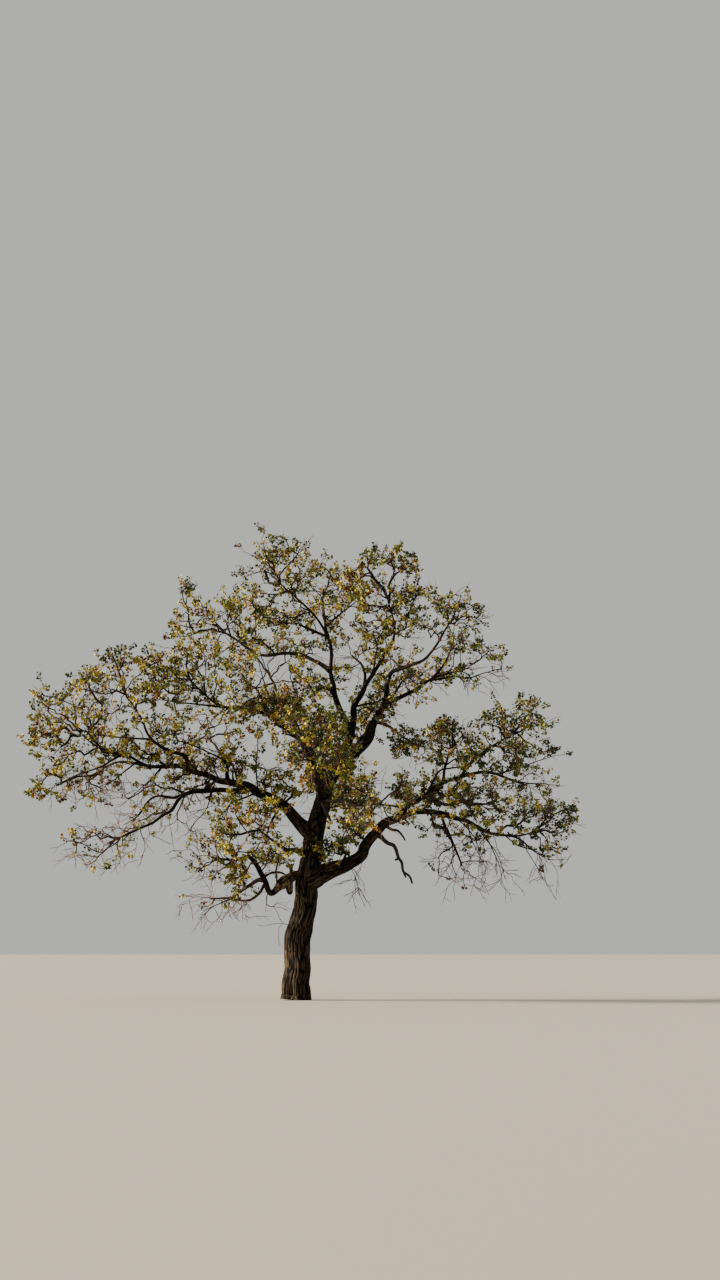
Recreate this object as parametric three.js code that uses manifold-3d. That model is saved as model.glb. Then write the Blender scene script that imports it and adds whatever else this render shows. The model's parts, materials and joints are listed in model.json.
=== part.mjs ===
// A plains cottonwood standing alone: a leaning furrowed trunk, crooked boughs that spread wide, and
// open masses of foliage at their ends. Sizes are in millimetres, +Z is up, and a place is
// [right, back, up] from the middle of the flat cut under the trunk.
import * as THREE from "three";
import { mergeVertices } from "three/addons/utils/BufferGeometryUtils.js";
import Module from "manifold-3d";

const wasm = await Module();
wasm.setup();

// What is left between two pieces that meet
const CLEARANCE = 0.3;

// The trunk leans to the right as it rises, and swells into five low root buttresses at the ground
const TRUNK = {
  name: "trunk",
  bends: [
    [0, 0, -300],
    [0, 0, 0],
    [30, 0, 550],
    [60, 0, 1400],
    [160, 0, 2200],
    [330, 0, 3250],
    [440, 0, 4000],
    [580, 20, 4900],
    [760, 30, 5500],
    [1050, 10, 6350],
    [1450, 0, 6850],
  ],
  footRadius: 375,
  forkRadius: 165,
  taper: 1.7,
  flare: 65,
  flareHeight: 260,
  buttresses: 5,
  buttressDepth: 0.12,
  sides: 15,
  steps: 12,
};

// What is cut away below the ground
const EARTH = { width: 3000, depth: 1000 };

// Each bough starts on the limb it grows from, at the point nearest to start, passes its bends and runs on to
// the heart of its own foliage. radius is its radius where it leaves that limb, thinning how fast a stout one
// thins, stations how many rings a crooked one is built on, knot a place where it swells, and reach holds the
// half sizes of the space that its foliage keeps to.
const BOUGHS = [
  {
    name: "left_bough",
    from: "trunk",
    radius: 190,
    thinning: 1.5,
    start: [400, 0, 4550],
    bends: [
      [50, 0, 4950], [-300, 0, 5300], [-850, 0, 5650], [-1550, 0, 5950], [-2750, 0, 6300],
      [-3300, 0, 6480], [-4150, 0, 6500], [-4800, 0, 6800], [-5650, 0, 7050],
    ],
    heart: [-6400, 0, 7700],
    reach: [1450, 1500, 1850],
  },
  {
    name: "right_bough",
    from: "trunk",
    radius: 235,
    thinning: 1.5,
    start: [330, 0, 3300],
    bends: [
      [750, 0, 3450], [1400, 0, 3700], [1850, 0, 4050], [2150, 0, 4550], [2500, 0, 4850],
      [3050, 0, 5120], [3850, 0, 5200], [4650, 0, 5000], [5500, 0, 4620], [6250, 0, 4550],
    ],
    heart: [7000, 0, 4750],
    reach: [1050, 1300, 1100],
  },
  {
    name: "upper_right_bough",
    from: "trunk",
    radius: 150,
    thinning: 1.5,
    start: [1450, 0, 6800],
    bends: [
      [1800, 0, 6980], [2050, 0, 7350], [2300, 0, 7950], [2650, 120, 8330], [3400, 400, 8750],
      [4000, 700, 9150],
    ],
    heart: [5050, 900, 9500],
    reach: [1400, 1300, 950],
  },
  {
    name: "crown_bough",
    from: "trunk",
    radius: 130,
    thinning: 1.5,
    start: [1350, 0, 6650],
    bends: [
      [1480, 20, 7050], [1550, 20, 7550], [1600, 50, 7950], [1780, 160, 8500], [2050, 300, 8950],
      [2400, 350, 9600], [2800, 350, 10300],
    ],
    heart: [2550, 300, 11700],
    reach: [1250, 1300, 1500],
  },
  {
    name: "crown_left_bough",
    from: "crown_bough",
    radius: 100,
    thinning: 1.5,
    start: [1530, 20, 7400],
    bends: [
      [1400, -10, 7850], [1150, -100, 8450], [950, -350, 9150], [1000, -520, 9650], [850, -650, 10150],
      [500, -850, 10700],
    ],
    heart: [-650, -1500, 11700],
    reach: [1450, 1500, 1500],
  },
  {
    name: "crown_left_side_bough",
    from: "crown_left_bough",
    radius: 70,
    start: [950, -380, 9200],
    bends: [
      [550, 0, 9530], [50, 300, 9750], [-500, 600, 9850], [-1000, 880, 9820], [-1750, 1300, 10300],
    ],
    heart: [-2550, 1700, 10900],
    reach: [1450, 1400, 1150],
  },
  {
    name: "crown_back_bough",
    from: "crown_left_bough",
    radius: 55,
    start: [870, -630, 10100],
    bends: [[800, -100, 10600], [720, 600, 11050]],
    heart: [700, 2000, 12050],
    reach: [1100, 1400, 1050],
  },
  {
    name: "crown_side_bough",
    from: "crown_bough",
    radius: 50,
    start: [1900, 230, 8750],
    bends: [[1950, 700, 9200], [1850, 1300, 9600]],
    heart: [1550, 2350, 10100],
    reach: [1050, 1200, 900],
  },
  {
    name: "upper_right_riser",
    from: "upper_right_bough",
    radius: 75,
    start: [2500, 60, 8200],
    bends: [[2550, -300, 8650], [2650, -700, 9030], [3100, -1200, 9200], [3650, -1700, 9350]],
    heart: [4350, -2300, 10350],
    reach: [1200, 1400, 1250],
  },
  {
    name: "upper_right_spur",
    from: "upper_right_bough",
    radius: 48,
    start: [2230, 0, 7780],
    bends: [[2600, -400, 7600], [3000, -800, 7250]],
    heart: [3450, -1800, 6850],
    reach: [900, 1050, 850],
  },
  {
    name: "upper_left_bough",
    from: "trunk",
    radius: 155,
    thinning: 1.5,
    start: [850, 10, 5900],
    bends: [
      [580, -80, 6450], [330, -300, 6950], [-150, -550, 7450], [-800, -850, 7850], [-1400, -1100, 8020],
      [-2100, -1400, 8080],
    ],
    heart: [-3100, -2000, 8900],
    reach: [1400, 1400, 1150],
  },
  {
    name: "upper_left_front_bough",
    from: "upper_left_bough",
    radius: 62,
    start: [-550, -740, 7700],
    bends: [[-720, -1500, 7750], [-820, -2400, 7950]],
    heart: [-900, -3600, 8150],
    reach: [1300, 1400, 1050],
  },
  {
    name: "left_riser",
    from: "left_bough",
    radius: 68,
    thinning: 1.5,
    start: [-3000, 0, 6400],
    bends: [[-3200, -250, 6780], [-3600, -600, 6920], [-4050, -1150, 7220], [-4230, -1650, 7650]],
    heart: [-4650, -2500, 8350],
    reach: [1450, 1400, 1300],
  },
  {
    name: "left_back_bough",
    from: "left_bough",
    radius: 60,
    start: [-1950, 0, 6100],
    bends: [[-2000, 500, 6500], [-2200, 1200, 6950]],
    heart: [-2900, 2800, 7800],
    reach: [1500, 1500, 1150],
  },
  {
    name: "left_hanger",
    from: "left_bough",
    radius: 80,
    start: [-1350, 0, 5870],
    bends: [
      [-1700, -120, 5820], [-2600, -450, 5780], [-3200, -700, 5600], [-3480, -900, 5150],
      [-4200, -1100, 4720],
    ],
    heart: [-5150, -1200, 4250],
    reach: [1400, 1300, 850],
  },
  {
    name: "left_under_bough",
    from: "left_bough",
    radius: 45,
    start: [-4150, 0, 6500],
    bends: [[-4800, 450, 6650], [-5400, 1100, 6680]],
    heart: [-6350, 2500, 6250],
    reach: [1150, 1350, 900],
  },
  {
    name: "low_left_bough",
    from: "trunk",
    radius: 115,
    stations: 13,
    start: [350, 0, 3450],
    bends: [
      [-60, -150, 3400], [-260, -270, 3290], [-440, -350, 3130], [-560, -410, 2980], [-660, -470, 2920],
      [-775, -530, 3020], [-830, -580, 3190], [-885, -640, 3380], [-965, -710, 3560], [-1070, -800, 3750],
      [-1240, -900, 3900], [-1530, -1050, 3830],
    ],
    knot: { at: [-330, -300, 3240], swell: 85, length: 220 },
    heart: [-2250, -1600, 3850],
    reach: [1150, 1200, 900],
  },
  {
    name: "low_left_fork",
    from: "low_left_bough",
    radius: 55,
    start: [-850, -600, 3290],
    bends: [[-1050, -450, 3290], [-1300, -200, 3140], [-1570, 200, 2990], [-1770, 450, 2860]],
    heart: [-2500, 1000, 2800],
    reach: [1150, 1200, 600],
  },
  {
    name: "low_front_bough",
    from: "trunk",
    radius: 70,
    start: [440, 0, 4100],
    bends: [[0, -600, 4080], [-350, -1300, 4150]],
    heart: [-950, -2700, 4600],
    reach: [1200, 1350, 950],
  },
  {
    name: "right_upper_bough",
    from: "right_bough",
    radius: 85,
    start: [2900, 0, 5080],
    bends: [
      [3200, 200, 5400], [3600, 450, 5680], [4100, 830, 6050], [4800, 1080, 6330], [5500, 1300, 6450],
    ],
    heart: [6750, 2100, 6150],
    reach: [1200, 1400, 850],
  },
  {
    name: "right_riser",
    from: "right_upper_bough",
    radius: 50,
    start: [4700, 1050, 6300],
    bends: [[4950, 400, 6600], [5250, -400, 6850]],
    heart: [6200, -1400, 7350],
    reach: [1350, 1400, 1050],
  },
  {
    name: "right_inner_riser",
    from: "right_upper_bough",
    radius: 45,
    start: [4200, 880, 6120],
    bends: [[4250, 1050, 6500]],
    heart: [4500, 1500, 7400],
    reach: [1150, 1150, 750],
  },
  {
    name: "right_front_bough",
    from: "right_upper_bough",
    radius: 60,
    start: [3350, 300, 5500],
    bends: [
      [3620, -100, 5620], [3900, -520, 5520], [4150, -950, 5330], [4500, -1450, 5410], [4850, -2050, 5300],
    ],
    heart: [5400, -2900, 5200],
    reach: [1350, 1350, 850],
  },
  {
    name: "right_hanger",
    from: "right_bough",
    radius: 45,
    start: [4100, 0, 5170],
    bends: [[4250, -250, 4700]],
    heart: [4650, -600, 3650],
    reach: [1150, 1200, 1000],
  },
  {
    name: "front_bough",
    from: "trunk",
    radius: 110,
    start: [680, 20, 5250],
    bends: [[680, -1200, 5650], [620, -2600, 5950]],
    heart: [500, -4750, 6650],
    reach: [1350, 1500, 1150],
  },
  {
    name: "front_right_bough",
    from: "front_bough",
    radius: 65,
    start: [680, -700, 5480],
    bends: [[1200, -1600, 5400], [1750, -2600, 5200]],
    heart: [2400, -4200, 5150],
    reach: [1250, 1350, 1000],
  },
  {
    name: "back_left_bough",
    from: "trunk",
    radius: 110,
    start: [820, 20, 5750],
    bends: [[450, 900, 6900], [-100, 2100, 7900], [-600, 3200, 8900]],
    heart: [-1150, 4500, 10050],
    reach: [1500, 1500, 1300],
  },
  {
    name: "back_right_bough",
    from: "trunk",
    radius: 100,
    start: [1150, 0, 6480],
    bends: [[1750, 1000, 7200], [2250, 2000, 8150], [2800, 3100, 9000]],
    heart: [3350, 4400, 9900],
    reach: [1400, 1500, 1250],
  },
  {
    name: "back_low_bough",
    from: "trunk",
    radius: 105,
    start: [560, 20, 4800],
    bends: [[680, 1200, 5150], [930, 2500, 5600]],
    heart: [1450, 4800, 6350],
    reach: [1500, 1500, 1150],
  },
  {
    name: "dead_limb",
    from: "right_bough",
    radius: 62,
    stations: 13,
    start: [2200, 0, 4600],
    bends: [
      [2420, -80, 4500], [2630, -180, 4320], [2760, -230, 4250], [2830, -280, 4120], [2870, -340, 3880],
      [2950, -360, 3770], [3010, -400, 3500], [3110, -410, 3440], [3190, -420, 3370], [3270, -420, 3160],
    ],
  },
];

// How a bough is built: its sides and stations, how it thins, and the collar where it leaves its limb
const BOUGH = {
  sides: 6,
  stationEvery: 900,
  fewestStations: 3,
  thinning: 0.85,
  collar: 0.35,
  collarRadii: 1.5,
  heartRadius: 20,
  deadTipRadius: 25,
};

// How foliage grows: how far its sprays keep from the edge of their space, and how strongly a twig is drawn
// to spring from low on the stem
const GROWTH = {
  sprays: 11,
  triesPerSpray: 40,
  innerShare: 0.15,
  rimRoom: 300,
  limbRoom: 70,
  stemRoom: 40,
  stemStations: 4,
  stemShare: 0.75,
  thrift: 0.45,
  twigTip: 14,
  twigThickening: 0.45,
  branchShare: 0.65,
};

// A leaf blade stands for a spray of leaves. It straddles its place, with this share of it behind
const BLADE = {
  length: 880,
  width: 780,
  ridge: 28,
  widestAt: 0.35,
  behind: 0.45,
  sizes: [1, 0.85, 0.7, 0.55],
};

// How finely a limb's line is searched: parts of its length, and the length of a part in a test for room
const SEARCH = { parts: 400, step: 100 };

const COLOURS = {
  bark: { color: "#5b4c3f", roughness: 0.95, metalness: 0 },
  dead: { color: "#6a6058", roughness: 0.95, metalness: 0 },
  foliage: { color: "#76782f", roughness: 0.7, metalness: 0 },
};

const place = ([right, back, up]) => new THREE.Vector3(right, back, up);

// A repeatable number from 0 to 1 for each seed and turn
function chance(seed, turn) {
  const wave = Math.sin(seed * 12.9898 + turn * 78.233) * 43758.5453;
  return wave - Math.floor(wave);
}

// A closed tube through stations { at, radius, flat }, whose section is flattened by flat and then turned by
// roll. profile(angle, station) varies its outline, and it ends in a point where the last radius is 0
function sweep(stations, sides, profile = () => 1, roll = 0) {
  const steps = stations.length - 1;
  const geometry = new THREE.CylinderGeometry(1, 1, steps, sides, steps);
  const axis = new THREE.Vector3(0, 1, 0);
  const turn = new THREE.Quaternion();
  let heading = axis;
  const turns = stations.map((station, i) => {
    const before = stations[Math.max(i - 1, 0)].at;
    const after = stations[Math.min(i + 1, steps)].at;
    const next = after.clone().sub(before).normalize();
    turn.premultiply(new THREE.Quaternion().setFromUnitVectors(heading, next));
    heading = next;
    return turn.clone();
  });
  const position = geometry.getAttribute("position");
  const corner = new THREE.Vector3();
  for (let i = 0; i < position.count; i++) {
    corner.fromBufferAttribute(position, i);
    const row = Math.round(corner.y + steps / 2);
    const { at, radius, flat = 1 } = stations[row];
    const out = radius * profile(Math.atan2(corner.z, corner.x), stations[row]);
    corner.set(corner.x * out, 0, corner.z * out * flat);
    corner.applyAxisAngle(axis, roll).applyQuaternion(turns[row]).add(at);
    position.setXYZ(i, corner.x, corner.y, corner.z);
  }
  return geometry;
}

// A solid for cutting and joining, from a closed geometry, without the triangles that a point flattens
function solidOf(geometry) {
  const bare = geometry.clone();
  bare.deleteAttribute("normal");
  bare.deleteAttribute("uv");
  const merged = mergeVertices(bare);
  const corners = merged.index.array;
  const kept = [];
  for (let i = 0; i < corners.length; i += 3) {
    const [a, b, c] = corners.slice(i, i + 3);
    if (a !== b && b !== c && c !== a) kept.push(a, b, c);
  }
  return new wasm.Manifold(
    new wasm.Mesh({
      numProp: 3,
      vertProperties: merged.getAttribute("position").array,
      triVerts: new Uint32Array(kept),
    }),
  );
}

// A geometry again, from the largest body of a solid
function geometryOf(solid) {
  const [largest] = solid.decompose().sort((a, b) => b.volume() - a.volume());
  const mesh = largest.getMesh();
  const geometry = new THREE.BufferGeometry();
  geometry.setAttribute("position", new THREE.BufferAttribute(new Float32Array(mesh.vertProperties), 3));
  geometry.setIndex(new THREE.BufferAttribute(new Uint32Array(mesh.triVerts), 1));
  return geometry.toNonIndexed();
}

// The stations of a limb, grown all round by extra
function swollen(stations, extra) {
  const grown = stations.map(({ at, radius }) => ({ at: at.clone(), radius: radius + extra }));
  const last = grown.length - 1;
  grown[0].at.addScaledVector(stations[0].at.clone().sub(stations[1].at).normalize(), extra);
  grown[last].at.addScaledVector(stations[last].at.clone().sub(stations[last - 1].at).normalize(), extra);
  return grown;
}

// The trunk's radius at a share of its length
function trunkRadius(share, height) {
  const { footRadius, forkRadius, taper, flare, flareHeight } = TRUNK;
  const swell = flare * Math.exp(-Math.max(height, 0) / flareHeight);
  return footRadius - (footRadius - forkRadius) * share ** taper + swell;
}

// The buttresses fade out above the root flare
function buttress(angle, station) {
  const fade = Math.exp(-Math.max(station.at.z, 0) / (2 * TRUNK.flareHeight));
  return 1 + TRUNK.buttressDepth * fade * Math.cos(TRUNK.buttresses * angle);
}

function trunkLimb() {
  const { name, bends, sides, steps } = TRUNK;
  const curve = new THREE.CatmullRomCurve3(bends.map(place), false, "centripetal");
  const stations = Array.from({ length: steps + 1 }, (_, i) => {
    const share = i / steps;
    const at = curve.getPointAt(share);
    return { at, radius: trunkRadius(share, at.z) };
  });
  const earth = new THREE.BoxGeometry(EARTH.width, EARTH.width, EARTH.depth);
  earth.translate(0, 0, -EARTH.depth / 2);
  const shape = (extra) => {
    const whole = sweep(extra ? swollen(stations, extra) : stations, sides, buttress);
    return solidOf(whole).subtract(solidOf(earth));
  };
  const radiusAt = (share) => trunkRadius(share, curve.getPointAt(share).z);
  return { name, curve, stations, radiusAt, shape };
}

// The share of a limb's length that lies nearest to a point
function nearestShare(limb, point) {
  const shares = Array.from({ length: SEARCH.parts + 1 }, (_, i) => i / SEARCH.parts);
  const gaps = shares.map((share) => limb.curve.getPointAt(share).distanceTo(point));
  return shares[gaps.indexOf(Math.min(...gaps))];
}

// How far a point lies inside its mass's space, which flat borders part from its neighbours' spaces
function borderRoom(mass, point) {
  const rooms = masses
    .filter((other) => other !== mass)
    .map((other) => {
      const mine = point.distanceToSquared(mass.heart) - mass.size ** 2;
      const theirs = point.distanceToSquared(other.heart) - other.size ** 2;
      return (theirs - mine) / (2 * other.heart.distanceTo(mass.heart));
    });
  return Math.min(...rooms);
}

// How far a point lies inside the rounded rim of its mass
function rimRoom(mass, point) {
  const offset = point.clone().sub(mass.heart).divide(mass.reach);
  const share = offset.length();
  return ((1 - share) * share) / offset.divide(mass.reach).length();
}

// The limb that a row of BOUGHS describes. Its line runs on to the heart of its foliage, but it ends where it
// enters that foliage's space.
function boughLimb(row) {
  const parent = limbs.get(row.from);
  const rootShare = nearestShare(parent, place(row.start));
  const root = parent.curve.getPointAt(rootShare);
  const line = [root, ...row.bends.map(place)];
  const mass = masses.find(({ name }) => name === row.name);
  if (mass) line.push(mass.heart);
  const curve = new THREE.CatmullRomCurve3(line, false, "centripetal");
  const length = curve.getLength();
  const tipRadius = mass ? BOUGH.heartRadius : BOUGH.deadTipRadius;
  const hidden = parent.radiusAt(rootShare);
  const knotRun = row.knot ? length * nearestShare({ curve }, place(row.knot.at)) : 0;
  const radiusAt = (share) => {
    const body = tipRadius + (row.radius - tipRadius) * (1 - share) ** (row.thinning ?? BOUGH.thinning);
    const outside = Math.max(0, share * length - hidden);
    const collar = BOUGH.collar * Math.exp(-outside / (BOUGH.collarRadii * row.radius));
    const knot = row.knot ? row.knot.swell * Math.exp(-(((share * length - knotRun) / row.knot.length) ** 2)) : 0;
    return body * (1 + collar) + knot;
  };
  const end = mass ? entryShare(mass, curve, radiusAt) : 1;
  const usual = Math.max(BOUGH.fewestStations, Math.round((end * length) / BOUGH.stationEvery));
  const count = row.stations ?? usual;
  const stations = Array.from({ length: count + 1 }, (_, i) => {
    const share = (end * i) / count;
    return { at: curve.getPointAt(share), radius: radiusAt(share) };
  });
  const shape = (extra) => solidOf(sweep(extra ? swollen(stations, extra) : stations, BOUGH.sides));
  return { name: row.name, curve, stations, radiusAt, shape, end, mass };
}

// Where a limb's line enters its foliage for good
function entryShare(mass, curve, radiusAt) {
  if (borderRoom(mass, mass.heart) < GROWTH.rimRoom) throw new Error(`${mass.name} has no room`);
  for (let i = SEARCH.parts - 1; i > 0; i--) {
    const share = i / SEARCH.parts;
    const point = curve.getPointAt(share);
    const inside = Math.min(borderRoom(mass, point), rimRoom(mass, point));
    if (inside < radiusAt(share) + GROWTH.stemRoom) return share;
  }
  return 0;
}

// Whether a straight rod of this radius stays clear of every limb
function clearOfLimbs(from, to, radius) {
  const rod = new THREE.Line3(from, to);
  const nearest = new THREE.Vector3();
  for (const { stations } of limbs.values()) {
    for (let i = 1; i < stations.length; i++) {
      const a = stations[i - 1];
      const b = stations[i];
      const checks = Math.ceil(a.at.distanceTo(b.at) / SEARCH.step);
      for (let k = 0; k <= checks; k++) {
        const point = a.at.clone().lerp(b.at, k / checks);
        rod.closestPointToPoint(point, true, nearest);
        if (nearest.distanceTo(point) < Math.max(a.radius, b.radius) + radius) return false;
      }
    }
  }
  return true;
}

// Places for sprays, spread evenly: each is the one of several tries that lies furthest from those before it
function sprayPlaces(mass, stem) {
  const places = [];
  let turn = 0;
  for (let n = 0; n < GROWTH.sprays; n++) {
    let best = null;
    let bestGap = 0;
    for (let k = 0; k < GROWTH.triesPerSpray; k++) {
      const up = 2 * chance(mass.seed, turn++) - 1;
      const around = 2 * Math.PI * chance(mass.seed, turn++);
      const out = GROWTH.innerShare + (1 - GROWTH.innerShare) * Math.sqrt(chance(mass.seed, turn++));
      const flat = Math.sqrt(1 - up * up);
      const point = new THREE.Vector3(flat * Math.cos(around), flat * Math.sin(around), up);
      point.multiplyScalar(out).multiply(mass.reach).add(mass.heart);
      if (Math.min(borderRoom(mass, point), rimRoom(mass, point)) < GROWTH.rimRoom) continue;
      const gap = Math.min(...[...places, ...stem].map((other) => other.distanceTo(point)));
      if (gap > bestGap) [best, bestGap] = [point, gap];
    }
    if (best) places.push(best);
  }
  return places;
}

// The twig from a joint to a place, with its blade as large as fits, or null where none fits
function sprayTo(mass, joint, spot) {
  const heading = spot.clone().sub(joint.at).normalize();
  const way = joint.way + spot.distanceTo(joint.at);
  for (const size of BLADE.sizes) {
    const length = BLADE.length * size;
    const half = (BLADE.width * size) / 2;
    const root = spot.clone().addScaledVector(heading, -BLADE.behind * length);
    const shoulder = root.clone().addScaledVector(heading, BLADE.widestAt * length);
    const tip = root.clone().addScaledVector(heading, length);
    const hasTwig = heading.dot(root.clone().sub(joint.at)) > 2 * GROWTH.twigTip;
    const within = borderRoom(mass, shoulder) > half + CLEARANCE && borderRoom(mass, tip) > CLEARANCE;
    if (!hasTwig || !within || rimRoom(mass, tip) < 0) continue;
    const clear = clearOfLimbs(joint.at, root, GROWTH.limbRoom) && clearOfLimbs(root, tip, half);
    if (clear) return { at: root, shoulder, tip, half, way };
  }
  return null;
}

// Joins each place to the stem or to a twig before it, by the way that is short and springs from low down
function growTwigs(mass, stem) {
  const joints = stem.map((at, i) => ({ at, from: i - 1, way: at.distanceTo(stem[0]), carries: 0 }));
  const waiting = sprayPlaces(mass, stem);
  while (waiting.length) {
    const offers = [];
    waiting.forEach((spot, w) => {
      joints.forEach((joint, from) => {
        const gap = joint.at.distanceTo(spot);
        if (from > 0) offers.push({ w, from, cost: gap + GROWTH.thrift * (joint.way + gap) });
      });
    });
    offers.sort((a, b) => a.cost - b.cost);
    let spray = null;
    const taken = offers.find(({ w, from }) => (spray = sprayTo(mass, joints[from], waiting[w])));
    if (!taken) break;
    waiting.splice(taken.w, 1);
    joints.push({ ...spray, from: taken.from, carries: 1 });
  }
  for (let i = joints.length - 1; i > 0; i--) joints[joints[i].from].carries += joints[i].carries;
  return joints;
}

// A mass of foliage: its stem runs on from the bough's end, with twigs that flatten into blades fused to it
function foliage(limb) {
  const { mass, curve, end, radiusAt, shape } = limb;
  const stem = Array.from({ length: GROWTH.stemStations }, (_, i) => {
    const onward = (GROWTH.stemShare * i) / (GROWTH.stemStations - 1);
    return curve.getPointAt(end + (1 - end) * onward);
  });
  const joints = growTwigs(mass, stem);
  const thickness = ({ carries }) =>
    Math.min(radiusAt(end), GROWTH.twigTip * Math.max(1, carries) ** GROWTH.twigThickening);
  const stemLine = joints.slice(0, stem.length).map((joint) => ({ at: joint.at, radius: thickness(joint) }));
  const pieces = [sweep(stemLine, 4)];
  joints.slice(stem.length).forEach((joint, i) => {
    const parent = joints[joint.from];
    const radius = thickness(joint);
    const line = [
      { at: parent.at, radius: Math.min(radius, GROWTH.branchShare * thickness(parent)) },
      { at: joint.at, radius },
      { at: joint.shoulder, radius: joint.half, flat: BLADE.ridge / joint.half },
      { at: joint.tip, radius: 0 },
    ];
    pieces.push(sweep(line, 3, () => 1, 2 * Math.PI * chance(mass.seed, i)));
  });
  return wasm.Manifold.union(pieces.map(solidOf)).subtract(shape(CLEARANCE));
}

const masses = BOUGHS.filter((row) => row.heart).map((row, i) => ({
  name: row.name,
  heart: place(row.heart),
  reach: place(row.reach),
  size: (row.reach[0] + row.reach[1] + row.reach[2]) / 3,
  seed: i + 1,
}));

const limbs = new Map();
limbs.set(TRUNK.name, trunkLimb());
BOUGHS.forEach((row) => limbs.set(row.name, boughLimb(row)));

const tree = new THREE.Group();
tree.name = "cottonwood";

function addPiece(name, solid, colours) {
  const mesh = new THREE.Mesh(geometryOf(solid), new THREE.MeshStandardMaterial(colours));
  mesh.name = name;
  tree.add(mesh);
}

// Each bough is cut back from the limbs before it, so that it starts at their bark
const cut = [];
for (const limb of limbs.values()) {
  const shape = cut.reduce((rest, before) => rest.subtract(before), limb.shape(0));
  addPiece(limb.name, shape, limb.name.startsWith("dead") ? COLOURS.dead : COLOURS.bark);
  cut.push(limb.shape(CLEARANCE));
}

for (const limb of limbs.values()) {
  if (limb.mass) addPiece(`${limb.name}_foliage`, foliage(limb), COLOURS.foliage);
}

export default tree;
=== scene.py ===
"""A plains cottonwood standing alone: a leaning furrowed trunk, crooked boughs that spread wide, and open
foliage of heart-shaped leaves that turn from olive to gold and russet. Sizes are in metres, +Z is up, and a
place is (right, back, up) from the middle of the flat cut under the trunk."""

import functools
import itertools
import json
import math
from collections import namedtuple

import bpy
import numpy as np
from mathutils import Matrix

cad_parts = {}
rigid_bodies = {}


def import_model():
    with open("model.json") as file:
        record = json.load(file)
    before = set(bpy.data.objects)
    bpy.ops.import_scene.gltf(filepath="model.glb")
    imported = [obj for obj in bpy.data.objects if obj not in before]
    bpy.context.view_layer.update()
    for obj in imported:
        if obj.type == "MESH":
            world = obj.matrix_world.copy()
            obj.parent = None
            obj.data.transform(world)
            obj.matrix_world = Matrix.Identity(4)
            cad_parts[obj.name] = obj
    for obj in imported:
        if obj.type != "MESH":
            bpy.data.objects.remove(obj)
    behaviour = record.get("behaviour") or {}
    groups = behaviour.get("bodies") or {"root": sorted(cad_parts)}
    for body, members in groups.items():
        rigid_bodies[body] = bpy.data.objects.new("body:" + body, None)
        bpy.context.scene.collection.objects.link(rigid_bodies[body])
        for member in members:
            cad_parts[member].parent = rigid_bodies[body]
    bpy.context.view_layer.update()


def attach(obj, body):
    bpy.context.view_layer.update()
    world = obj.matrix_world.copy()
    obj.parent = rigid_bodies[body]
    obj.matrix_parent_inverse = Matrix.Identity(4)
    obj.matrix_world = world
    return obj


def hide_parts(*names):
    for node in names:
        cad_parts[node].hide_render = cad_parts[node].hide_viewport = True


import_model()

bl_info = {
    "name": "Plains cottonwood",
    "version": (1, 0, 0),
    "blender": (4, 5, 0),
    "location": "3D View > Sidebar > Cottonwood",
    "description": "Builds a plains cottonwood with furrowed bark, crooked boughs and autumn leaves",
    "category": "Add Mesh",
}

BODY = "root"

# The limbs and the spaces of the foliage, as in the solid model

TRUNK = {
    "bends": [
        (0, 0, -0.3), (0, 0, 0), (0.03, 0, 0.55), (0.06, 0, 1.4), (0.16, 0, 2.2), (0.33, 0, 3.25),
        (0.44, 0, 4), (0.58, 0.02, 4.9), (0.76, 0.03, 5.5), (1.05, 0.01, 6.35), (1.45, 0, 6.85),
    ],
    "foot_radius": 0.375,
    "fork_radius": 0.165,
    "taper": 1.7,
    "flare": 0.065,
    "flare_height": 0.26,
    "buttresses": 5,
    "buttress_depth": 0.12,
    "steps": 12,
}

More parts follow.
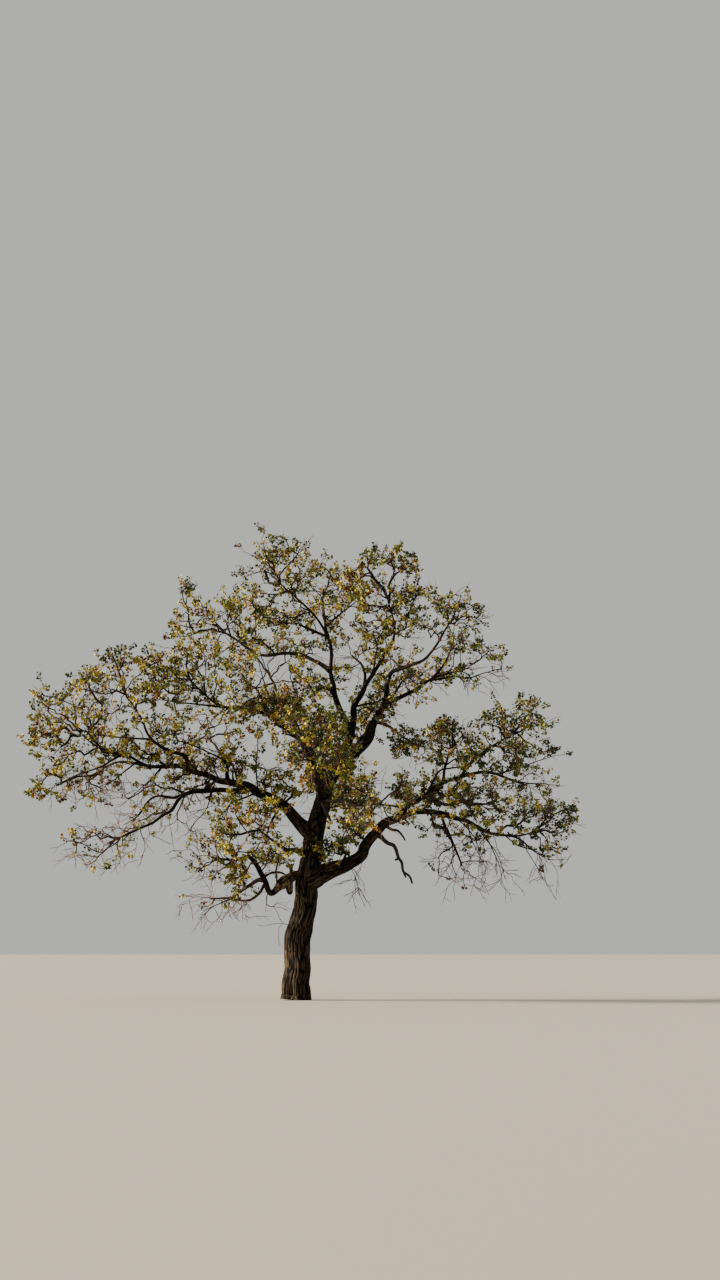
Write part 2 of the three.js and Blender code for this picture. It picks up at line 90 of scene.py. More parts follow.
# A bough starts on the limb it grows from, at the point nearest to start, passes its bends and runs on to the
# heart of its own foliage. reach holds the half sizes of the space that its foliage keeps to, stations the
# number of rings that a crooked bough is built on, knot the place, swell and length of a burl on it, and
# thinning how fast a stout bough thins.
Bough = namedtuple(
    "Bough", "name parent radius start bends heart reach stations knot thinning", defaults=(None, None, None)
)
BOUGHS = [
    Bough("left_bough", "trunk", 0.19, (0.4, 0, 4.55), [
        (0.05, 0, 4.95), (-0.3, 0, 5.3), (-0.85, 0, 5.65), (-1.55, 0, 5.95), (-2.75, 0, 6.3),
        (-3.3, 0, 6.48), (-4.15, 0, 6.5), (-4.8, 0, 6.8), (-5.65, 0, 7.05)], (-6.4, 0, 7.7),
        (1.45, 1.5, 1.85), thinning=1.5),
    Bough("right_bough", "trunk", 0.235, (0.33, 0, 3.3), [
        (0.75, 0, 3.45), (1.4, 0, 3.7), (1.85, 0, 4.05), (2.15, 0, 4.55), (2.5, 0, 4.85), (3.05, 0, 5.12),
        (3.85, 0, 5.2), (4.65, 0, 5), (5.5, 0, 4.62), (6.25, 0, 4.55)], (7, 0, 4.75), (1.05, 1.3, 1.1),
        thinning=1.5),
    Bough("upper_right_bough", "trunk", 0.15, (1.45, 0, 6.8), [
        (1.8, 0, 6.98), (2.05, 0, 7.35), (2.3, 0, 7.95), (2.65, 0.12, 8.33), (3.4, 0.4, 8.75),
        (4, 0.7, 9.15)], (5.05, 0.9, 9.5), (1.4, 1.3, 0.95), thinning=1.5),
    Bough("crown_bough", "trunk", 0.13, (1.35, 0, 6.65), [
        (1.48, 0.02, 7.05), (1.55, 0.02, 7.55), (1.6, 0.05, 7.95), (1.78, 0.16, 8.5), (2.05, 0.3, 8.95),
        (2.4, 0.35, 9.6), (2.8, 0.35, 10.3)], (2.55, 0.3, 11.7), (1.25, 1.3, 1.5), thinning=1.5),
    Bough("crown_left_bough", "crown_bough", 0.1, (1.53, 0.02, 7.4), [
        (1.4, -0.01, 7.85), (1.15, -0.1, 8.45), (0.95, -0.35, 9.15), (1, -0.52, 9.65), (0.85, -0.65, 10.15),
        (0.5, -0.85, 10.7)], (-0.65, -1.5, 11.7), (1.45, 1.5, 1.5), thinning=1.5),
    Bough("crown_left_side_bough", "crown_left_bough", 0.07, (0.95, -0.38, 9.2), [
        (0.55, 0, 9.53), (0.05, 0.3, 9.75), (-0.5, 0.6, 9.85), (-1, 0.88, 9.82), (-1.75, 1.3, 10.3)],
        (-2.55, 1.7, 10.9), (1.45, 1.4, 1.15)),
    Bough("crown_back_bough", "crown_left_bough", 0.055, (0.87, -0.63, 10.1), [
        (0.8, -0.1, 10.6), (0.72, 0.6, 11.05)], (0.7, 2, 12.05), (1.1, 1.4, 1.05)),
    Bough("crown_side_bough", "crown_bough", 0.05, (1.9, 0.23, 8.75), [
        (1.95, 0.7, 9.2), (1.85, 1.3, 9.6)], (1.55, 2.35, 10.1), (1.05, 1.2, 0.9)),
    Bough("upper_right_riser", "upper_right_bough", 0.075, (2.5, 0.06, 8.2), [
        (2.55, -0.3, 8.65), (2.65, -0.7, 9.03), (3.1, -1.2, 9.2), (3.65, -1.7, 9.35)], (4.35, -2.3, 10.35),
        (1.2, 1.4, 1.25)),
    Bough("upper_right_spur", "upper_right_bough", 0.048, (2.23, 0, 7.78), [
        (2.6, -0.4, 7.6), (3, -0.8, 7.25)], (3.45, -1.8, 6.85), (0.9, 1.05, 0.85)),
    Bough("upper_left_bough", "trunk", 0.155, (0.85, 0.01, 5.9), [
        (0.58, -0.08, 6.45), (0.33, -0.3, 6.95), (-0.15, -0.55, 7.45), (-0.8, -0.85, 7.85),
        (-1.4, -1.1, 8.02), (-2.1, -1.4, 8.08)], (-3.1, -2, 8.9), (1.4, 1.4, 1.15), thinning=1.5),
    Bough("upper_left_front_bough", "upper_left_bough", 0.062, (-0.55, -0.74, 7.7), [
        (-0.72, -1.5, 7.75), (-0.82, -2.4, 7.95)], (-0.9, -3.6, 8.15), (1.3, 1.4, 1.05)),
    Bough("left_riser", "left_bough", 0.068, (-3, 0, 6.4), [
        (-3.2, -0.25, 6.78), (-3.6, -0.6, 6.92), (-4.05, -1.15, 7.22), (-4.23, -1.65, 7.65)],
        (-4.65, -2.5, 8.35), (1.45, 1.4, 1.3), thinning=1.5),
    Bough("left_back_bough", "left_bough", 0.06, (-1.95, 0, 6.1), [
        (-2, 0.5, 6.5), (-2.2, 1.2, 6.95)], (-2.9, 2.8, 7.8), (1.5, 1.5, 1.15)),
    Bough("left_hanger", "left_bough", 0.08, (-1.35, 0, 5.87), [
        (-1.7, -0.12, 5.82), (-2.6, -0.45, 5.78), (-3.2, -0.7, 5.6), (-3.48, -0.9, 5.15),
        (-4.2, -1.1, 4.72)], (-5.15, -1.2, 4.25), (1.4, 1.3, 0.85)),
    Bough("left_under_bough", "left_bough", 0.045, (-4.15, 0, 6.5), [
        (-4.8, 0.45, 6.65), (-5.4, 1.1, 6.68)], (-6.35, 2.5, 6.25), (1.15, 1.35, 0.9)),
    Bough("low_left_bough", "trunk", 0.115, (0.35, 0, 3.45), [
        (-0.06, -0.15, 3.4), (-0.26, -0.27, 3.29), (-0.44, -0.35, 3.13), (-0.56, -0.41, 2.98),
        (-0.66, -0.47, 2.92), (-0.775, -0.53, 3.02), (-0.83, -0.58, 3.19), (-0.885, -0.64, 3.38),
        (-0.965, -0.71, 3.56), (-1.07, -0.8, 3.75), (-1.24, -0.9, 3.9), (-1.53, -1.05, 3.83)],
        (-2.25, -1.6, 3.85), (1.15, 1.2, 0.9), 13, ((-0.33, -0.3, 3.24), 0.085, 0.22)),
    Bough("low_left_fork", "low_left_bough", 0.055, (-0.85, -0.6, 3.29), [
        (-1.05, -0.45, 3.29), (-1.3, -0.2, 3.14), (-1.57, 0.2, 2.99), (-1.77, 0.45, 2.86)], (-2.5, 1, 2.8),
        (1.15, 1.2, 0.6)),
    Bough("low_front_bough", "trunk", 0.07, (0.44, 0, 4.1), [
        (0, -0.6, 4.08), (-0.35, -1.3, 4.15)], (-0.95, -2.7, 4.6), (1.2, 1.35, 0.95)),
    Bough("right_upper_bough", "right_bough", 0.085, (2.9, 0, 5.08), [
        (3.2, 0.2, 5.4), (3.6, 0.45, 5.68), (4.1, 0.83, 6.05), (4.8, 1.08, 6.33), (5.5, 1.3, 6.45)],
        (6.75, 2.1, 6.15), (1.2, 1.4, 0.85)),
    Bough("right_riser", "right_upper_bough", 0.05, (4.7, 1.05, 6.3), [
        (4.95, 0.4, 6.6), (5.25, -0.4, 6.85)], (6.2, -1.4, 7.35), (1.35, 1.4, 1.05)),
    Bough("right_inner_riser", "right_upper_bough", 0.045, (4.2, 0.88, 6.12), [
        (4.25, 1.05, 6.5)], (4.5, 1.5, 7.4), (1.15, 1.15, 0.75)),
    Bough("right_front_bough", "right_upper_bough", 0.06, (3.35, 0.3, 5.5), [
        (3.62, -0.1, 5.62), (3.9, -0.52, 5.52), (4.15, -0.95, 5.33), (4.5, -1.45, 5.41),
        (4.85, -2.05, 5.3)], (5.4, -2.9, 5.2), (1.35, 1.35, 0.85)),
    Bough("right_hanger", "right_bough", 0.045, (4.1, 0, 5.17), [
        (4.25, -0.25, 4.7)], (4.65, -0.6, 3.65), (1.15, 1.2, 1)),
    Bough("front_bough", "trunk", 0.11, (0.68, 0.02, 5.25), [
        (0.68, -1.2, 5.65), (0.62, -2.6, 5.95)], (0.5, -4.75, 6.65), (1.35, 1.5, 1.15)),
    Bough("front_right_bough", "front_bough", 0.065, (0.68, -0.7, 5.48), [
        (1.2, -1.6, 5.4), (1.75, -2.6, 5.2)], (2.4, -4.2, 5.15), (1.25, 1.35, 1)),
    Bough("back_left_bough", "trunk", 0.11, (0.82, 0.02, 5.75), [
        (0.45, 0.9, 6.9), (-0.1, 2.1, 7.9), (-0.6, 3.2, 8.9)], (-1.15, 4.5, 10.05), (1.5, 1.5, 1.3)),
    Bough("back_right_bough", "trunk", 0.1, (1.15, 0, 6.48), [
        (1.75, 1, 7.2), (2.25, 2, 8.15), (2.8, 3.1, 9)], (3.35, 4.4, 9.9), (1.4, 1.5, 1.25)),
    Bough("back_low_bough", "trunk", 0.105, (0.56, 0.02, 4.8), [
        (0.68, 1.2, 5.15), (0.93, 2.5, 5.6)], (1.45, 4.8, 6.35), (1.5, 1.5, 1.15)),
    Bough("dead_limb", "right_bough", 0.062, (2.2, 0, 4.6), [
        (2.42, -0.08, 4.5), (2.63, -0.18, 4.32), (2.76, -0.23, 4.25), (2.83, -0.28, 4.12),
        (2.87, -0.34, 3.88), (2.95, -0.36, 3.77), (3.01, -0.4, 3.5), (3.11, -0.41, 3.44),
        (3.19, -0.42, 3.37), (3.27, -0.42, 3.16)], None, None, 13),
]

# What all boughs share: the spacing of their rings, how they thin, the collar at their root, and their tip
BOUGH = {
    "station_every": 0.9,
    "fewest_stations": 3,
    "thinning": 0.85,
    "collar": 0.35,
    "collar_radii": 1.5,
    "heart_radius": 0.02,
    "dead_tip_radius": 0.025,
}

# How sprays grow in a mass: how many, how evenly, how much room each keeps, and how it joins what is there
GROWTH = {
    "sprays": 11,
    "tries": 40,
    "inner_share": 0.15,
    "rim_room": 0.3,
    "limb_room": 0.07,
    "stem_room": 0.04,
    "stem_stations": 4,
    "stem_share": 0.75,
    "thrift": 0.45,
    "twig_tip": 0.014,
}

# The solid model's blade, which stands for a spray of leaves, and the sizes that are tried where it is tight
BLADE = {"length": 0.88, "width": 0.78, "widest_at": 0.35, "behind": 0.45, "sizes": (1, 0.85, 0.7, 0.55)}

# How finely limbs are searched, and the gap that a blade keeps to the spaces beside its own
SEARCH = {"parts": 400, "step": 0.1}
CLEARANCE = 0.0003

# What grows on from there, too fine for the solid model

# A branch springs from a limb at the first of its bends. shoots is how many leafy shoots it carries for each
# metre of its length, and bare how many leafless ones.
Branch = namedtuple("Branch", "name parent radius shoots bare bends tip", defaults=(0.006,))
BRANCHES = [
    Branch("crown_left_second", "crown_left_bough", 0.042, 26, 0, [
        (0.73, -0.6, 10.1), (0.38, -0.5, 10.35), (0.09, -0.4, 10.51), (-0.37, -0.3, 10.58),
        (-0.83, -0.2, 10.63), (-1.13, 0, 10.79)]),
    Branch("crown_left_fork", "crown_left_bough", 0.036, 20, 0, [
        (0.84, -0.7, 10.37), (1.18, -0.4, 10.77), (1.52, 0, 11.14), (1.86, 0.4, 11.45)]),
    Branch("crown_stub", "crown_bough", 0.032, 9, 0, [
        (2.03, 0.2, 9.07), (2.23, 0, 9.5), (2.29, -0.2, 9.96), (2.2, -0.3, 10.32), (2.38, -0.4, 10.42)]),
    Branch("crown_cross", "crown_bough", 0.03, 8, 2, [
        (1.8, 0.1, 8.19), (2.03, -0.2, 8.26), (2.31, -0.5, 8.28), (2.82, -0.9, 8.56)]),
    Branch("upper_right_top", "upper_right_bough", 0.045, 16, 0, [
        (3.83, 0.6, 9.07), (4.13, 0.8, 9.39), (4.44, 1.1, 9.98), (4.64, 1.4, 10.62)]),
    Branch("upper_right_low", "upper_right_bough", 0.036, 10, 8, [
        (3.83, 0.6, 9.07), (4.45, 0.3, 9.11), (4.95, 0, 9.04), (5.45, -0.3, 9.17), (5.86, -0.5, 9.25)]),
    Branch("right_upper_inner", "right_upper_bough", 0.038, 16, 0, [
        (3.8, 0.35, 5.86), (4.08, 0.1, 6.38), (4.35, -0.1, 6.45), (4.8, -0.3, 6.48), (5.12, -0.6, 6.79)]),
    Branch("right_far_shoot", "right_upper_bough", 0.03, 9, 1, [
        (5.88, 1.3, 6.41), (6.45, 1.2, 6.58), (6.95, 0.9, 6.75), (7.45, 0.7, 6.9)]),
    Branch("right_outer_drop", "right_bough", 0.036, 9, 6, [
        (5.53, 0, 4.59), (6.24, -0.2, 4.47), (6.61, -0.4, 4.12), (7.1, -0.5, 3.81)]),
    Branch("left_riser_side", "left_riser", 0.032, 16, 0, [
        (-4.05, -1, 7.17), (-4.64, -0.8, 7.22), (-5.11, -0.6, 7.27), (-5.69, -0.5, 7.34)]),
    Branch("left_hanger_second", "left_hanger", 0.042, 3, 10, [
        (-3.13, -0.5, 5.68), (-3.42, -0.4, 5.6), (-3.95, -0.2, 5.62), (-4.24, -0.1, 5.43), (-4.47, 0, 5.1),
        (-4.93, 0.1, 4.82)]),
    Branch("hanging_bough", "left_bough", 0.048, 26, 0, [
        (-0.51, 0, 5.32), (-0.67, -0.3, 4.91), (-0.82, -0.5, 4.45), (-0.92, -0.6, 4.05)]),
    Branch("left_inner_drop", "left_bough", 0.034, 18, 0, [
        (-1.14, 0, 5.66), (-1.56, -0.4, 5.54), (-1.79, -0.7, 5.41), (-1.91, -0.9, 5.06),
        (-1.99, -1, 4.75)]),
    Branch("left_inner_second", "left_bough", 0.028, 18, 0, [
        (-0.57, 0, 5.32), (-0.87, 0.3, 5.23), (-1.57, 0.6, 5.31)]),
    Branch("left_bare_drop", "left_hanger", 0.02, 0, 9, [
        (-2.36, -0.3, 5.58), (-2.51, -0.4, 5.24), (-2.77, -0.6, 4.91), (-3.03, -0.7, 4.52)]),
    Branch("upper_left_riser", "upper_left_bough", 0.038, 16, 2, [
        (-0.33, -0.7, 7.54), (-0.74, -0.5, 8.33), (-0.98, -0.3, 9.05), (-1.11, -0.2, 9.53)]),
    Branch("upper_left_low", "upper_left_bough", 0.04, 7, 5, [
        (-1.46, -1.2, 7.98), (-2.03, -1.3, 8.03), (-2.69, -1.4, 8.1), (-3.35, -1.5, 8.14),
        (-3.95, -1.6, 8.24)]),
    Branch("left_tall_shoot", "left_bough", 0.024, 6, 3, [
        (-0.97, 0, 6), (-1.17, 0.3, 6.54), (-1.13, 0.5, 7.17), (-1.17, 0.7, 7.86)]),
    Branch("left_inner_riser", "left_bough", 0.034, 12, 2, [
        (-1.99, 0, 6.14), (-1.93, -0.2, 6.49), (-2.19, -0.5, 6.72), (-2.57, -0.7, 6.89), (-3, -0.9, 7.04),
        (-3.32, -1.1, 7.18), (-3.37, -1.2, 7.68)]),
    Branch("low_left_shoot", "low_left_bough", 0.03, 8, 8, [
        (-1.22, -1.1, 3.92), (-1.59, -1.3, 3.8), (-2.01, -1.5, 3.52), (-2.33, -1.6, 3.46)]),
    Branch("low_left_low", "low_left_bough", 0.048, 2, 6, [
        (-0.83, -0.6, 3.19), (-0.94, -0.5, 3), (-1.1, -0.3, 2.85), (-1.27, 0, 2.75), (-1.55, 0.3, 2.74),
        (-1.88, 0.5, 2.77), (-2.28, 0.6, 2.62), (-2.65, 0.7, 2.46)]),
    Branch("low_left_cross", "low_left_bough", 0.034, 3, 1, [
        (-0.88, -0.6, 3.36), (-0.65, -0.5, 3.49), (-0.44, -0.4, 3.51), (-0.27, -0.33, 3.44)], 0.026),
    Branch("burl_stub", "low_left_bough", 0.15, 0, 0, [
        (-0.12, -0.2, 3.38), (-0.18, -0.32, 3.22), (-0.18, -0.33, 3.06), (-0.13, -0.3, 2.88)], 0.08),
    Branch("burl_prong", "low_left_bough", 0.07, 0, 0, [
        (-0.1, -0.2, 3.38), (-0.13, -0.25, 3.57), (-0.15, -0.28, 3.69), (-0.24, -0.3, 3.77)], 0.02),
    Branch("burl_second_prong", "low_left_bough", 0.045, 0, 0, [
        (-0.1, -0.2, 3.4), (-0.12, -0.26, 3.6), (-0.03, -0.28, 3.78)], 0.016),
    Branch("left_outer_low", "left_bough", 0.036, 8, 8, [
        (-4.96, 0, 6.83), (-5.45, 0.3, 6.6), (-6, 0.6, 6.43), (-6.55, 0.8, 6.25), (-7.15, 1, 5.95)]),
    Branch("left_outer_drop", "left_bough", 0.03, 2, 10, [
        (-4.5, 0, 6.63), (-4.8, -0.3, 6.37), (-5.1, -0.5, 6.07), (-5.53, -0.6, 5.86)]),
    Branch("left_middle_drop", "left_bough", 0.028, 1, 10, [
        (-3.82, 0, 6.48), (-4.07, -0.2, 6.15), (-4.39, -0.3, 5.83), (-4.71, -0.4, 5.54)]),
    Branch("left_inner_third", "left_bough", 0.03, 9, 5, [
        (-1.65, 0, 6), (-1.79, 0.2, 6.48), (-2.03, 0.3, 6.8), (-2.44, 0.4, 7.01), (-2.9, 0.4, 7.13)]),
    Branch("left_over_drop", "left_bough", 0.024, 1, 9, [
        (-2.34, 0, 6.2), (-2.64, 0.3, 6.03), (-3.06, 0.5, 5.9), (-3.52, 0.6, 5.77)]),
    Branch("right_drop_one", "right_bough", 0.02, 2, 6, [
        (4.06, 0, 5.13), (4.22, -0.2, 4.63), (4.43, -0.4, 4.18), (4.31, -0.5, 3.73), (4.03, -0.5, 3.34)]),
    Branch("right_drop_two", "right_bough", 0.018, 3, 7, [
        (4.8, 0, 4.84), (4.97, 0.2, 4.43), (5.32, 0.4, 3.77)]),
    Branch("right_drop_three", "right_bough", 0.022, 0, 7, [
        (5.19, 0, 4.7), (5.53, 0.1, 4.2), (5.76, 0.2, 3.65), (5.81, 0.3, 3.15)]),
    Branch("right_drop_four", "right_bough", 0.018, 0, 7, [
        (6.26, 0, 4.51), (6.56, -0.3, 3.96), (6.81, -0.5, 3.51), (6.91, -0.6, 3.23)]),
    Branch("right_drop_six", "right_bough", 0.018, 0, 6, [
        (5.11, 0, 4.73), (5.34, 0.2, 4.49), (5.63, 0.3, 4.16), (5.83, 0.4, 3.71), (5.91, 0.4, 3.32)]),
    Branch("right_drop_seven", "right_bough", 0.018, 0, 5, [
        (4.49, 0, 5.07), (4.78, -0.2, 4.77), (5.05, -0.3, 4.4), (5.15, -0.4, 3.9), (5.09, -0.4, 3.51)]),
    Branch("right_drop_eight", "right_bough", 0.02, 1, 6, [
        (5.89, 0, 4.56), (6.27, 0.2, 4.29), (6.74, 0.4, 4.16), (7.15, 0.5, 3.94), (7.37, 0.5, 3.63)]),
    Branch("right_drop_nine", "right_bough", 0.016, 0, 8, [
        (1.52, 0, 3.69), (1.72, -0.2, 3.46), (1.8, -0.2, 3.19)]),
    Branch("right_drop_five", "right_bough", 0.012, 0, 9, [
        (1.58, 0, 3.64), (1.69, -0.2, 3.3), (1.8, -0.2, 2.85)]),
    Branch("trunk_shoot", "trunk", 0.011, 0, 1, [
        (-0.25, 0, 2.05), (-0.5, -0.2, 2.1), (-0.85, -0.3, 2.03), (-1.1, -0.35, 2.06)]),
    Branch("dead_snag", "front_bough", 0.075, 0, 0, [
        (0.66, -0.7, 5.8), (0.7, -0.72, 5.57), (0.8, -0.74, 5.32), (0.91, -0.72, 5.07), (1, -0.7, 4.88)],
        0.03),
    Branch("dead_spur", "right_bough", 0.048, 0, 0, [
        (2.59, 0, 4.73), (2.7, -0.1, 4.7), (2.84, -0.2, 4.67), (2.94, -0.3, 4.59), (3.02, -0.38, 4.48),
        (3.08, -0.45, 4.35)], 0.02),
    Branch("dead_knob", "dead_limb", 0.04, 0, 0, [
        (2.87, -0.34, 3.88), (2.81, -0.36, 3.86), (2.77, -0.38, 3.82)], 0.02),
    Branch("dead_second_knob", "dead_limb", 0.034, 0, 0, [
        (3.03, -0.4, 3.48), (3.07, -0.42, 3.39), (3.09, -0.43, 3.34)], 0.016),
]

# How a mass differs from the rest: full is its share of the usual number of shoots, leafy the share of its
# shoots that keep their leaves, and shade, the light and shade painted into its leaves' tints, runs from -1,
# gold where the crown is lit, to 1, deep green where it lies in shade.
Habit = namedtuple("Habit", "full leafy shade")
USUAL = Habit(1, 0.95, 0)
HABITS = {
    "left_bough": Habit(0.75, 0.95, -0.5), "left_riser": Habit(0.75, 0.95, -0.5),
    "left_back_bough": Habit(0.7, 0.9, -0.3), "left_hanger": Habit(0.8, 0.3, -0.5),
    "left_under_bough": Habit(0.6, 0.75, -0.4), "low_left_bough": Habit(0.9, 0.75, -0.2),
    "low_left_fork": Habit(0.7, 0.55, -0.4), "low_front_bough": Habit(0.7, 0.9, -0.2),
    "upper_left_bough": Habit(0.8, 0.95, -0.4), "upper_left_front_bough": Habit(1.1, 1, 0.4),
    "crown_left_bough": Habit(0.85, 0.95, -0.2), "crown_left_side_bough": Habit(0.8, 0.95, -0.4),
    "crown_bough": Habit(1, 0.95, 0.1), "upper_right_bough": Habit(0.5, 0.75, 0.4),
    "upper_right_riser": Habit(0.65, 0.9, 0.6), "upper_right_spur": Habit(1, 1, 0.8),
    "right_bough": Habit(0.6, 0.85, 0.8), "right_upper_bough": Habit(0.55, 0.9, 0.6),
    "right_riser": Habit(0.75, 1, 0.8), "right_inner_riser": Habit(1, 1, 0.8),
    "right_front_bough": Habit(0.75, 0.95, 0.6), "right_hanger": Habit(0.3, 0.15, 0.3),
    "front_bough": Habit(1.3, 1, 0.4), "front_right_bough": Habit(1.2, 0.75, 0.1),
    "back_low_bough": Habit(0.6, 0.9, 0.1),
}

# How many leafless shoots hang under the bare stretch of a bough
USUAL_HANGING = 3
HANGING = {
    "left_bough": 10, "left_hanger": 18, "low_left_bough": 4, "low_left_fork": 10, "upper_left_bough": 8,
    "right_bough": 12, "right_upper_bough": 8, "upper_right_bough": 10,
}
